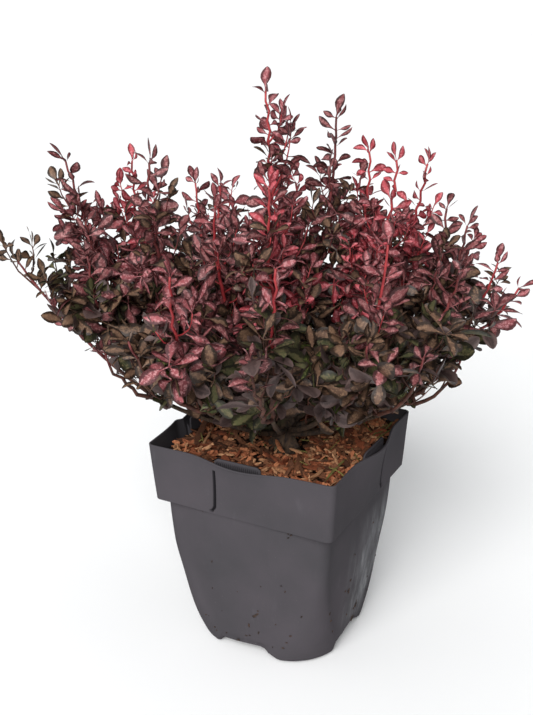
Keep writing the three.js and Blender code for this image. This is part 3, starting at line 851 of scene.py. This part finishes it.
def chip_shape(draw, length, width, thickness):
    """A splintered bark chip: a bent, hollowed bar with uneven sides and torn ends."""
    angles = np.arange(CHIP_SIDES) * FULL_TURN / CHIP_SIDES
    share = np.linspace(-1, 1, CHIP_RINGS)
    taper = np.interp(np.abs(share), [0, 0.6, 1], [1, 0.92, draw.uniform(0.4, 0.85)])
    bend = draw.uniform(-0.1, 0.1) * length
    curl = draw.uniform(0, 0.08) * width
    rings = []
    for s, t in zip(share, taper):
        jag = draw.uniform(-0.1, 0.1, CHIP_SIDES) * length * (abs(s) > 0.9)
        wide = np.cos(angles) * width / 2 * t * draw.uniform(0.78, 1.12, CHIP_SIDES)
        thick = np.sin(angles) * thickness / 2 * t * draw.uniform(0.7, 1.25, CHIP_SIDES)
        thick += curl * (2 * wide / width) ** 2 + bend * 0.5 * s * s
        rings.append(np.stack([s * length / 2 + jag, wide + bend * 0.6 * s * s, thick], 1))
    return capped(rings)


def turned(points, heading, pitch, roll):
    """Points turned by roll about X, pitch about Y, then heading about Z."""
    for angle, first, second in ((roll, 1, 2), (-pitch, 0, 2), (heading, 0, 1)):
        turn = np.eye(3)
        turn[first, first] = turn[second, second] = math.cos(angle)
        turn[first, second] = math.sin(angle)
        turn[second, first] = -math.sin(angle)
        points = points @ turn
    return points


# Bark chips: how many, their least and greatest length, width, thickness and height over the mix,
# and their tones
CHIP_KINDS = {
    "orange": (560, (5, 14), (2.2, 5.6), (1.4, 3), (0, 3.5), "864a30", "cc845c"),
    "tan": (270, (4, 12), (1.3, 3.6), (1, 2.4), (1.5, 4.5), "966848", "d09c74"),
    "brown": (390, (7, 18), (2, 6), (1.6, 3.2), (0, 4), "452a1d", "82543a"),
    "russet": (34, (14, 26), (4.5, 8), (2, 3.4), (2, 4.5), "64341f", "8e4e34"),
    "straw": (20, (10, 26), (0.8, 1.6), (0.5, 1), (3, 4.5), "56522c", "8a8248"),
}
# Chips that stand out: kind, place, heading in degrees, length and width
MARKED_CHIPS = [
    ("brown", -60, -25, -70, 43, 6),
    ("tan", -51, -30, -74, 37, 2),
    ("russet", 42, -36, 28, 16, 7),
    ("brown", 29, -35, -71, 28, 5),
    ("straw", 57, -32, 93, 42, 2.2),
    ("straw", 64, 46, 86, 30, 1.6),
    ("straw", 67, 40, 82, 24, 1.6),
    ("straw", 60, 47, 87, 28, 1.5),
    ("tan", 18, -16, -11, 11, 3),
    ("orange", 3, -15, -48, 20, 4),
    ("straw", 60, -36, -24, 16, 1.4),
    ("tan", 49, -47, 85, 17, 3),
]
MARKED_LIFT = 5.5
CHIPLESS_SHARE = 0.85
CHIP_PITCH = 0.38
CHIP_ROLL = 0.6


def make_chips():
    draw = np.random.default_rng(17)
    for kind, (count, lengths, widths, depths, lifts, *tones) in CHIP_KINDS.items():
        batch = Batch()
        for _ in range(count):
            length, width, thickness = (draw.uniform(*sizes) for sizes in (lengths, widths, depths))
            limit = MIX_HALF - 0.5 - 0.42 * length
            x, y = draw.uniform(-limit, limit, 2)
            hollow = hollow_at(x, y)
            if draw.uniform() < CHIPLESS_SHARE * hollow:
                continue
            z = mix_height(x, y) + draw.uniform(*lifts) - HOLLOW_DEPTH * hollow
            points, faces = chip_shape(draw, length, width, thickness)
            pitch = draw.normal(0, CHIP_PITCH)
            points = turned(points, draw.uniform(0, FULL_TURN), pitch, draw.normal(0, CHIP_ROLL))
            # Painted light: chips are dealt lighter shades towards +X and +Y, against the crown's shadow
            # there
            batch.add(points + [x, y, z], faces, draw.uniform(0, 1) ** mix(1.2, 0.3, (x + y) / 200 + 0.4))
        for marked, x, y, heading, length, width in MARKED_CHIPS:
            if marked == kind:
                points, faces = chip_shape(draw, length, width, min(width * 0.5, 2))
                points = turned(points, math.radians(heading), 0.05, draw.normal(0, 0.2))
                batch.add(points + [x, y, mix_height(x, y) + MARKED_LIFT], faces, draw.uniform(0.2, 0.9))
        material = chip_material(f"chip_{kind}", *tones)
        batch.piece(f"bark_chips_{kind}", material, "potting_mix", ["potting_mix"], smooth_faces=False)


# Crumbs of the mix stuck to the pot: the side, the place along it, the height and the length.
# Sides are counted anticlockwise from the one that faces -Y.
CRUMBS = [
    (0, 10, 42, 6.5),
    (0, 2, 29.5, 2.6),
    (0, -40.4, 122, 1.6),
    (0, 55, 121, 1.8),
    (0, 55.3, 117.5, 1.6),
    (0, -9, 10.5, 2.4),
    (0, -1, 18, 1.8),
    (0, 10, 25, 2.2),
    (0, 36, 16.5, 1.8),
    (0, 36.5, 22.6, 1.6),
    (0, 40, 30, 1.8),
    (0, 55, 50, 1.8),
    (0, 57.5, 120, 1.8),
    (1, -23, 65, 2.2),
    (1, -28, 56.5, 3.4),
    (1, -29, 54, 1.8),
    (1, 2, 29, 4.6),
    (1, 4, 27, 3.2),
    (1, 3, 15, 5.4),
    (1, 0, 17, 3.6),
    (1, -42, 58, 1.6),
    (1, -55, 48, 2.2),
    (1, -18, 30, 1.6),
]
LOOSE_CRUMBS = 40


def make_crumbs(material):
    draw = np.random.default_rng(29)
    batch = Batch()
    loose = [
        (draw.integers(0, 4), draw.uniform(-55, 55), draw.triangular(10, 14, 110), draw.uniform(0.7, 1.6))
        for _ in range(LOOSE_CRUMBS)
    ]
    for side, along, z, length in CRUMBS + loose:
        ring = ring_points(body_ring(z))[:, :3]
        aim = turned_side(np.array([along, -POT_WIDTH, z]), side)
        place = ring[np.linalg.norm(ring - aim, axis=1).argmin()]
        points, faces = chip_shape(draw, length * 1.2, min(length * 0.7, 2.0), 1.1)
        points = turned(points, side * math.pi / 2, -0.7 + draw.normal(0, 0.4), math.pi / 2)
        batch.add(points + place, faces)
    batch.piece("crumbs", material, "potting_mix", ["pot"], smooth_faces=False)


# Trunk and limbs


def polar(bearing, reach, height):
    angle = math.radians(bearing)
    return np.array([reach * math.cos(angle), reach * math.sin(angle), height])


class Curve:
    """A line of points with its length measured along it."""

    def __init__(self, points):
        self.points = points
        gaps = np.linalg.norm(np.diff(points, axis=0), axis=1)
        self.measure = np.concatenate([[0], np.cumsum(gaps)])
        self.length = self.measure[-1]

    def at(self, share):
        place = np.clip(share, 0, 1) * self.length
        return np.stack([np.interp(place, self.measure, self.points[:, k]) for k in range(3)], -1)

    def along(self, share):
        share = min(max(share, 0.03), 0.97)
        return unit(self.at(share + 0.03) - self.at(share - 0.03))

    def seat(self, share):
        """A place on the line, and the line's heading there."""
        return self.at(share), self.along(share)

    def leaned(self, bearing, reach, rise):
        """The same line with its tip moved, and the rest of it the less the nearer it is to the root."""
        shares = (self.measure / self.length)[:, None]
        return Curve(self.points + shares**2 * polar(bearing, reach, rise))

    def grown(self, draw):
        """The same line as a shoot grows: kinked at its nodes, in slow waves, with both ends kept."""
        shares = np.linspace(0, 1, max(8, round(self.length / YOUNG_STEP)))
        points = self.at(shares)
        phase = draw.uniform(0, FULL_TURN)
        for k in range(1, len(points) - 1):
            heading = self.along(shares[k])
            held = math.sin(math.pi * shares[k])
            wave = math.sin(FULL_TURN * 1.3 * shares[k] + phase)
            points[k] += square_to(heading, phase) * wave * held * STEM_WAVER
            points[k] += square_to(heading, k * math.pi + phase) * STEM_KINK
        return Curve(points)


def arc(start, turn, end, steps=40):
    """A quadratic curve from start to end that leaves start towards turn."""
    t = np.linspace(0, 1, steps)[:, None]
    return Curve((1 - t) ** 2 * start + 2 * t * (1 - t) * turn + t**2 * end)


def square_to(axis, angle):
    """A unit vector square to an axis, turned round it by an angle."""
    spare = np.array([1.0, 0, 0]) if abs(axis[2]) > 0.9 else SKY
    first = unit(np.cross(axis, spare))
    return first * math.cos(angle) + np.cross(axis, first) * math.sin(angle)


def lay_out(level, shoots):
    """The curves of one bough and of the two stems that it carries, by the frame's rule."""
    tips = [polar(*shoot) for shoot in shoots]
    middle = (tips[0] + tips[1]) / 2
    rise = LEVEL_HEIGHTS[level]
    root = unit(middle * [1, 1, 0]) * BOUGH_ROOT_REACH + [TRUNK_LEAN * rise, 0, TRUNK_BASE + rise]
    fork = middle * FORK_REACH
    fork[2] = mix(root[2], middle[2], FORK_RISE)
    bend = (root + fork) / 2
    bend[2] -= BOUGH_SAG * np.linalg.norm(root - fork)
    bough = arc(root, bend, fork)
    heading = unit(fork - bend)
    apart = tips[0] - tips[1]
    apart = unit(apart - heading * apart.dot(heading))
    stems = []
    for sign, tip in zip((1, -1), tips):
        side = apart * sign
        start = fork + side * STEM_SPREAD * 0.4
        end = tip - unit(tip - fork) * TIP_LEAF_REACH
        lead = unit(heading - SKY * STEM_DIP + side * STEM_SPLAY)
        turn = start + lead * STEM_BEND * np.linalg.norm(end - start)
        stems.append(arc(start, turn, end))
    return bough, stems


plan = [lay_out(level, [shoot[:3] for shoot in shoots]) for level, *shoots in BOUGHS]
LINE_STEPS = 9
bough_lines = np.array([bough.at(np.linspace(0, 1, LINE_STEPS)) for bough, _ in plan])
stem_lines = np.array([stem.at(np.linspace(0, 1, LINE_STEPS)) for _, stems in plan for stem in stems])


def distances(lines, points):
    """The least distance from each point to each line of points."""
    start = lines[:, None, :-1]
    step = lines[:, None, 1:] - start
    away = points[None, :, None] - start
    share = np.clip((away * step).sum(-1) / (step * step).sum(-1), 0, 1)
    return np.linalg.norm(away - step * share[..., None], axis=-1).min(-1)


def is_free(points, own=None):
    """True where all points are over the underside, off the boughs and in the shoot's own space."""
    points = np.asarray(points)
    if (above_underside(points) < (0 if own is not None else -SPUR_DROP)).any():
        return False
    if own is not None:
        to_stems = distances(stem_lines, points)
        if (to_stems[own] > to_stems.min(axis=0) + SPACE_OVERLAP).any():
            return False
    return (distances(bough_lines, points) > BOUGH_ROOT_RADIUS + LIMB_MARGIN).all()


underside_bumps = Bumps(31, 50)


def above_underside(points):
    """How high places lie over the crown's underside, which opens like a bowl with a ragged face."""
    points = np.asarray(points)
    reach = np.hypot(points[..., 0], points[..., 1])
    bowl = UNDERSIDE_FOOT + UNDERSIDE_SLOPE * reach + UNDERSIDE_CURVE * reach**2
    for bearing, depth, slope, narrowness in UNDERSIDE_DIPS:
        facing = np.maximum(points @ polar(bearing, 1, 0) / np.maximum(reach, 1), 0)
        bowl = bowl - (depth * np.minimum(reach / 30, 1) + slope * reach) * facing**narrowness
    return points[..., 2] - bowl + UNDERSIDE_RAGGED * underside_bumps(points)


def make_wood(material):
    """The trunk and boughs, with their bark in relief."""
    wood = Batch()
    profile = [
        (FOOT_RADIUS, -6),
        (FOOT_RADIUS, 0),
        (mix(WAIST_RADIUS, FOOT_RADIUS, 0.4), 0.4 * FOOT_HEIGHT),
        (WAIST_RADIUS, FOOT_HEIGHT),
        (WAIST_RADIUS, WAIST_TOP),
        (FORK_RADIUS, FORK_BELLY),
        (0.7 * FORK_RADIUS, TRUNK_HEIGHT - 2),
        (0.2 * FORK_RADIUS, TRUNK_HEIGHT),
    ]
    share = np.linspace(0, len(profile) - 1, TRUNK_RINGS)
    radii, heights = (np.interp(share, np.arange(len(profile)), column) for column in zip(*profile))
    spine = np.stack([TRUNK_LEAN * heights, heights * 0, TRUNK_BASE + heights], 1)
    points, faces = tube(spine, radii, TRUNK_SIDES)
    relief(points, spine, coarse=1.1, fine=0.45, swell=FOOT_SWELL)
    wood.add(points, faces)
    for bough, _ in plan:
        shares = np.linspace(0, 1.02, 26)
        spine = bough.at(shares)
        spine[0] = spine[1] - (spine[1] - spine[0]) * 2.2
        radii = mix(BOUGH_ROOT_RADIUS * 1.25, BOUGH_TIP_RADIUS * 1.05, shares**0.7)
        points, faces = tube(spine, radii, BOUGH_SIDES)
        relief(points, spine, coarse=0.35, fine=0.2, swell=0)
        wood.add(points, faces)
    nodes = ["trunk"] + [f"bough_{k + 1:02d}" for k in range(len(BOUGHS))]
    wood.piece("bark_wood", material, "bark", nodes)


def relief(points, spine, coarse, fine, swell):
    """Pushes a limb's surface out and in along its own radius, as ridged bark."""
    nearest = np.linalg.norm(points[:, None] - spine[None], axis=-1).argmin(axis=1)
    out = points - spine[nearest]
    reach = np.maximum(np.linalg.norm(out, axis=1), 1e-6)[:, None]
    stretched = points * [1, 1, 0.35]
    ridges = np.abs(Bumps(21, 5.5)(stretched)) - 0.6
    specks = Bumps(22, 1.9)(stretched)
    push = (coarse * ridges + fine * specks)[:, None] * np.minimum(reach / 6, 1)
    angle = np.arctan2(out[:, 1], out[:, 0])
    foot = np.clip(1 - (points[:, 2] - TRUNK_BASE) / FOOT_HEIGHT, 0, 1)
    push += (reach[:, 0] * swell * foot * np.cos(FOOT_ROOTS * angle))[:, None]
    points += out / reach * push


# Leaves and twigs. A leaf's widths along it, where it is shaped like a spoon and where like a lance

LEAF_STATIONS = np.array([0.0, 0.16, 0.29, 0.42, 0.56, 0.71, 0.85, 0.95])
SPOON_WIDTHS = np.array([0.14, 0.11, 0.19, 0.56, 0.9, 1.0, 0.8, 0.42])
LANCE_WIDTHS = np.array([0.14, 0.14, 0.4, 0.8, 1.0, 0.88, 0.52, 0.2])


def leaf_batch(leaves_of_tint):
    """All leaves of one tint. Each is a root, two directions, a length, a width, bends and a shade."""
    rows = np.array(leaves_of_tint)
    root, along, front = rows[:, None, 0:3], rows[:, None, 3:6], rows[:, None, 6:9]
    length, width, curl, fold, twist, sway, lance, shade = rows[:, 9:17].T[..., None]
    across = np.cross(front, along)
    across /= np.linalg.norm(across, axis=-1, keepdims=True)
    front = np.cross(along, across)
    stations = np.append(LEAF_STATIONS, 1.0)
    bend = curl * stations
    straight, safe = np.abs(bend) < 1e-3, np.where(bend == 0, 1, bend)
    run = np.where(straight, stations, np.sin(bend) / safe * stations) * length
    drop = np.where(straight, 0, (1 - np.cos(bend)) / safe * stations) * length
    middle = root + along * run[..., None] - front * drop[..., None]
    middle = middle + across * (sway * length * stations**2)[..., None]
    facing = front * np.cos(bend)[..., None] + along * np.sin(bend)[..., None]
    roll = (twist * stations)[..., None]
    side = across * np.cos(roll) + facing * np.sin(roll)
    facing = facing * np.cos(roll) - across * np.sin(roll)
    spread = (width / 2 * mix(SPOON_WIDTHS, LANCE_WIDTHS, lance))[..., None]
    wide, lift = np.cos(fold)[..., None] * side, np.sin(fold)[..., None] * facing
    halves = [middle[:, :-1] + (lift + hand * wide)[:, :-1] * spread for hand in (1, -1)]
    rings = np.stack([halves[0], middle[:, :-1], halves[1]], axis=2)
    count, tip = len(rows), 3 * len(LEAF_STATIONS)
    points = np.concatenate([rings.reshape(count, -1, 3), middle[:, -1:]], axis=1)
    strip = grid_faces(len(LEAF_STATIONS), 3, closed=False)
    faces = np.concatenate([strip, [[tip - 3, tip - 2, tip], [tip - 2, tip - 1, tip]]])
    faces = faces[None] + np.arange(count)[:, None, None] * (tip + 1)
    rim = np.append(np.tile([1.0, 0.0, 1.0], len(LEAF_STATIONS)), 1.0)
    made = Batch()
    made.add(points.reshape(-1, 3), faces.reshape(-1, 3), np.repeat(shade, tip + 1), np.tile(rim, count))
    return made


# The leaves' tints: their dark and light ends, the flecks, the margin, how strong the flecks are,
# the roughness, and how much light passes through
TINTS = {
    "coral": ("96323c", "d05c64", "e6989e", "6a2228", 0.6, 0.5, 0.25),
    "rose": ("703238", "ac5e62", "d49a9c", "452022", 0.75, 0.5, 0.2),
    "wine": ("582a2c", "965658", "be8886", "30191a", 0.75, 0.5, 0.15),
    "dusky": ("2b1e17", "765a49", "8e7058", "1c140f", 0.65, 0.42, 0.1),
    "plum": ("1d1414", "554441", "382a29", "584744", 0.5, 0.5, 0.06),
    "bronze": ("33241b", "7d604b", "8c6c54", "241a13", 0.55, 0.5, 0.12),
    "olive": ("1e2012", "606040", "74654a", "1a1910", 0.55, 0.5, 0.12),
    "green": ("2c3415", "5f6c32", "98985e", "26290f", 0.6, 0.5, 0.12),
    "cream": ("585c3a", "868a60", "3a4a28", "54382f", 0.9, 0.5, 0.2),
}
leaves = {tint: [] for tint in TINTS}

# The stems' dark and light tones, and their roughness
STEM_TONES = {
    "coral": ("80242a", "a83c3e", 0.42),
    "wine": ("4c2020", "7c3a3a", 0.5),
    "brown": ("2c1a15", "5a352a", 0.7),
}
stems = {group: Batch() for group in STEM_TONES}

# How the tints of the rosettes are dealt out, by zone and by the tint of the shoot
YOUNG_TINTS = {
    "coral": ["coral", "coral", "rose", "coral"],
    "rose": ["rose", "wine", "rose", "wine"],
    "wine": ["wine", "rose", "wine", "dusky"],
    "dusky": ["dusky", "wine", "dusky", "wine"],
    "bronze": ["wine", "bronze", "rose", "dusky"],
}
MIDDLE_TINTS = {
    "coral": ["rose", "wine", "wine", "dusky", "coral"],
    "rose": ["wine", "rose", "wine", "dusky", "dusky"],
    "wine": ["wine", "dusky", "dusky", "dusky", "rose"],
    "dusky": ["dusky", "dusky", "plum", "dusky", "wine"],
    "bronze": ["bronze", "dusky", "olive", "wine", "dusky"],
}
LOW_TINTS = ["dusky"] * 7 + ["plum"] * 7 + ["olive"] * 5 + ["bronze"] * 3


def zone_tint(place, young, shoot_tint, draw):
    """The tint of one rosette, from its place in the crown and along its shoot."""
    reach = math.hypot(place[0], place[1])
    zone = mix(LOW_ZONE, LOW_ZONE_EDGE, smooth(reach / LOW_ZONE_REACH - 1))
    if above_underside(place) < zone + draw.gauss(0, LOW_ZONE_BLUR):
        if reach < GREEN_REACH and draw.random() < GREEN_CHANCE + CREAM_CHANCE:
            return "green" if draw.random() * (GREEN_CHANCE + CREAM_CHANCE) < GREEN_CHANCE else "cream"
        return draw.choice(LOW_TINTS)
    return draw.choice((YOUNG_TINTS if young else MIDDLE_TINTS)[shoot_tint])


def leaf_size(place, draw):
    """Leaves are largest near the crown's underside."""
    share = smooth(above_underside(place) / HIGH_LEAF_RISE)
    return mix(LOW_LEAF, HIGH_LEAF, share) * draw.uniform(0.8, 1.16)


class Shoot:
    """One mass of foliage: the shoot's stem, its twigs and their twigs, and the leaves on all of them."""

    def __init__(self, curve, own, seed, tint):
        self.draw = random.Random(seed)
        self.curve = curve if own is None else curve.grown(self.draw)
        self.own, self.tint, self.turn = own, tint, seed
        self.stem_tone = "coral" if tint in ("coral", "rose") else "wine"
        self.leaf_count = 0

    def way_out(self, heading, k, more=0.0):
        """The way out of a stem at its node k, a golden angle round from the node before."""
        return square_to(heading, k * GOLDEN_ANGLE + self.turn + more)

    def leaf(self, root, along, front, length, tint, lance, light):
        """One leaf, unless it would leave the shoot's space. `light` lifts its shade, from 0 to 1: a low one
        paints the leaf darker, as shade deep in the crown.
        """
        draw = self.draw
        end = root + along * length
        if not is_free([mix(root, end, 0.6), end], self.own):
            return
        front = unit(front - along * front.dot(along) + square_to(along, draw.uniform(0, FULL_TURN)) * 0.3)
        width = length * draw.uniform(0.44, 0.6) * mix(1.0, 0.72, lance)
        bends = (draw.gauss(0.4, 0.5), draw.uniform(0.05, 0.5), draw.gauss(0, 0.4), draw.gauss(0, 0.12))
        shade = mix(draw.uniform(0, 0.75), draw.uniform(0.25, 1), light)
        leaves[tint].append((*root, *along, *front, length, width, *bends, lance, shade))
        self.leaf_count += 1

    def rosette(self, root, out, young, counts, light, scale=1.0):
        """A spur with leaves spread round it like the petals of a flower."""
        draw = self.draw
        tint = zone_tint(root, young, self.tint, draw)
        count = draw.choice(counts)
        size = scale * leaf_size(root, draw)
        first = draw.uniform(0, FULL_TURN)
        size *= GREEN_SHRINK if tint in ("green", "cream") else 1
        middle = root + out * draw.uniform(1.0, 3.0)
        drop = SKY * 0.3 * (1 - smooth(above_underside(middle) / 90))
        for k in range(count):
            fan = square_to(out, first + k * GOLDEN_ANGLE)
            along = unit(out * draw.uniform(0.25, 0.9) + fan + SKY * 0.2 - drop)
            length = size * draw.uniform(0.7, 1.1)
            self.leaf(middle, along, unit(out + SKY * 0.55), length, tint, draw.uniform(0, 0.4), light)

    def single_leaf(self, root, out, heading, size, tint):
        """A leaf on its own stalk, held up and away from the stem, turned any way round."""
        draw = self.draw
        along = unit(out * draw.uniform(0.8, 1.2) + heading * draw.uniform(0.2, 0.95))
        face = square_to(along, draw.uniform(0, FULL_TURN))
        self.leaf(root, along, unit(heading * 0.5 + face), size, tint, draw.uniform(0.2, 0.9), 1.0)

    def young_end(self, curve, start, tint, size):
        """Single leaves by ones and twos along a young end, with small ones at its tip."""
        draw = self.draw
        nodes = max(2, round(curve.length * (YOUNG_END - start) / YOUNG_STEP))
        for k in range(nodes):
            place, heading = curve.seat(mix(start, YOUNG_END, (k + 0.5) / nodes))
            out = self.way_out(heading, k)
            smaller = mix(1.0, 0.72, k / nodes)
            self.single_leaf(place, out, heading, size * smaller * draw.uniform(0.8, 1.15), tint)
            if draw.random() < 0.85:
                other = self.way_out(heading, k, draw.uniform(1.6, 3.6))
                self.single_leaf(place, other, heading, size * smaller * draw.uniform(0.55, 0.9), tint)
        tip, heading = curve.seat(1.0)
        self.single_leaf(tip, self.way_out(heading, 0) * 0.12, heading, size * 0.8, tint)
        for k in range(3):
            out = self.way_out(heading, k) * 0.6
            self.single_leaf(tip - heading * k, out, heading, size * draw.uniform(0.4, 0.8), tint)

    def twig(self, root, out, axis, length, radius, young, finer=True):
        """A twig that bends up, unless no leaf has room on it."""
        draw = self.draw
        end = root + out * 0.62 * length + unit(axis + SKY * 0.8) * 0.75 * length
        turn = root + out * 0.5 * length + axis * 0.1 * length
        curve = arc(root, turn, end, steps=10)
        if not is_free(curve.at(np.array([0.5, 1.0])), self.own):
            return
        points = curve.at(np.linspace(0, 1, 5))
        points[1:4] += np.array([[draw.gauss(0, 0.35) for _ in range(3)] for _ in range(3)])
        before = self.leaf_count
        if young:
            tint = zone_tint(root, True, self.tint, draw)
            self.young_end(curve, 0.15, tint, 0.92 * YOUNG_LEAVES[self.tint])
        else:
            self.twig_rosettes(curve, length, finer)
        if self.leaf_count > before:
            group = "brown" if above_underside(root) < BROWN_TWIGS else self.stem_tone
            stems[group].add(*tube(points, np.linspace(radius, TWIG_TIP_RADIUS, len(points)), 5))

    def twig_rosettes(self, curve, length, finer):
        """Rosettes along a twig, with a finer twig in place of one of them on a long one."""
        nodes = max(1, round(length / ROSETTE_STEP))
        for k in range(nodes):
            place, heading = curve.seat((k + 0.7) / nodes)
            out = self.way_out(heading, k)
            if finer and length > FORKED_LENGTH and k == nodes // 3:
                finer_length = self.draw.uniform(*FINER_LENGTHS)
                self.twig(place, out, heading, finer_length, FINER_RADIUS, False, finer=False)
            else:
                # Rosettes along a twig get less `light` than the one at its tip, painted darker as shade
                self.rosette(place, out, False, [3, 4, 4], 0.3)
        self.rosette(*curve.seat(1.0), False, [4, 5], 0.8, scale=0.9)

    def grow(self):
        """A young end with single leaves, and below it rosettes with a twig at every other node."""
        curve, draw = self.curve, self.draw
        shares = curve.measure / curve.length
        radii = mix(STEM_ROOT_RADIUS, STEM_TIP_RADIUS, shares)
        reaches = np.hypot(curve.points[:, 0], curve.points[:, 1])
        low = (curve.points[:, 2] < BROWN_HEIGHT) & (reaches < BROWN_REACH)
        cut = max(int(len(shares) * 0.3), min(int(low.sum()), len(shares) - 3))
        stems["brown"].add(*tube(curve.points[: cut + 1], radii[: cut + 1], 8))
        stems[self.stem_tone].add(*tube(curve.points[cut:], radii[cut:], 8))
        upright = max(0.0, curve.along(0.8)[2])
        young_start = 1 - YOUNG_SHARE * mix(0.35, 1.0, upright)
        self.young_end(curve, young_start, YOUNG_TINTS[self.tint][0], YOUNG_LEAVES[self.tint])
        bare_bearing, bare_start = BARE_SIDES.get(self.own, (0, 1))
        nodes = round(curve.length * young_start / ROSETTE_STEP)
        for k in range(nodes - 1, -1, -1):
            share = mix(0.03, young_start, (k + 0.5 * draw.random()) / nodes)
            place, heading = curve.seat(share)
            out = self.way_out(heading, k)
            inner = share < 0.3 and math.hypot(place[0], place[1]) < INNER_REACH
            if out[2] > -0.3 and not (inner and k % 2):
                # Rosettes nearer the stem's root get less `light`, painted darker as shade deep in the crown
                self.rosette(place, out, share > 0.45, [3, 4, 5], share)
            length = TWIG_LENGTH * (1 - TWIG_TAPER * share * heading[2]) * draw.uniform(0.75, 1.25)
            radius = 0.55 * mix(STEM_ROOT_RADIUS, STEM_TIP_RADIUS, share)
            side = unit(self.way_out(heading, k, TWIG_TURN) + SKY * (1 - heading[2]))
            if share > bare_start and side @ polar(bare_bearing, 1, 0) > 0.15:
                continue
            young = share > 0.4 or above_underside(place) > YOUNG_RISE
            self.twig(place, side, heading, length, radius, young and k % 3 > 0)
        for share, bearing, rise, length in SIDE_SHOOTS.get(self.own, []):
            place, heading = curve.seat(share)
            self.twig(place, unit(polar(bearing, 1, rise)), heading, length, SIDE_SHOOT_RADIUS, True)

    def grow_spurs(self):
        """The leafy spurs and short twigs on a bough."""
        curve, draw = self.curve, self.draw
        nodes = round(curve.length * (1 - SPUR_START) / SPUR_STEP)
        for k in range(nodes):
            place, heading = curve.seat(mix(SPUR_START, 0.97, (k + 0.5) / nodes))
            out = unit(square_to(heading, k * GOLDEN_ANGLE) + SKY * 0.35)
            self.twig(place + out * 3, out, heading, draw.uniform(10, 24), SPUR_RADIUS, False, finer=False)


def make_foliage():
    masses = []
    for k, (bough, pair) in enumerate(plan):
        Shoot(bough, None, 500 + k, "dusky").grow_spurs()
        for n, stem in enumerate(pair):
            own = 2 * k + n
            stem = stem.leaned(*LEANS.get(own, (0, 0, 0)))
            Shoot(stem, own, 101 + own, BOUGHS[k][1 + n][3]).grow()
            masses.append(f"foliage_{k + 1:02d}_{'ab'[n]}")
    for tint, rows in leaves.items():
        material = leaf_material(f"leaf_{tint}", *TINTS[tint])
        leaf_batch(rows).piece(f"leaves_{tint}", material, "foliage", masses)
    for group, batch in stems.items():
        material = stem_material(f"stem_{group}", *STEM_TONES[group])
        batch.piece(f"stems_{group}", material, "foliage", masses)


# The staging: a pale floor, soft light and the camera


def make_stage():
    bpy.ops.mesh.primitive_circle_add(vertices=96, radius=FLOOR_RADIUS, fill_type="NGON")
    floor = bpy.context.object
    floor.name = "floor"
    nodes = Nodes("floor_paint")
    grain = nodes.band(nodes.noise(3), 0.3, 0.7)
    floor.data.materials.append(nodes.finish(nodes.blend(grain, *FLOOR_TONES), 0.9))
    world = bpy.data.worlds.new("studio")
    bpy.context.scene.world = world
    world.use_nodes = True
    tree = world.node_tree
    background = tree.nodes["Background"]
    background.inputs["Color"].default_value = SKY_COLOUR
    seen = tree.nodes.new("ShaderNodeLightPath").outputs["Is Camera Ray"]
    strength = tree.nodes.new("ShaderNodeMapRange")
    strength.inputs["To Min"].default_value = SKY_STRENGTH
    strength.inputs["To Max"].default_value = SKY_SEEN
    tree.links.new(seen, strength.inputs["Value"])
    tree.links.new(strength.outputs["Result"], background.inputs["Strength"])
    for name, sun in SUNS.items():
        add_sun(name, *sun)


def add_sun(name, bearing, height, strength, spread):
    """A wide soft lamp that shines from a bearing and a height, both in degrees."""
    data = bpy.data.lights.new(name, "SUN")
    data.energy = strength
    data.angle = math.radians(spread)
    light = bpy.data.objects.new(name, data)
    bpy.context.scene.collection.objects.link(light)
    light.rotation_euler = (math.radians(90 - height), 0, math.radians(bearing + 90))


def make_camera():
    data = bpy.data.cameras.new("camera")
    data.lens = CAMERA_LENS
    camera = bpy.data.objects.new("camera", data)
    bpy.context.scene.collection.objects.link(camera)
    camera.location = [value * MM for value in CAMERA_PLACE]
    camera.rotation_euler = (math.radians(90 - CAMERA_PITCH), 0, math.radians(CAMERA_TURN))
    bpy.context.scene.camera = camera


make_camera()
make_stage()
make_pot(pot_material())
make_soil(soil_material())
make_crumbs(dirt_material())
make_chips()
make_wood(bark_material())
make_foliage()

bpy.context.scene.view_settings.view_transform = "Standard"
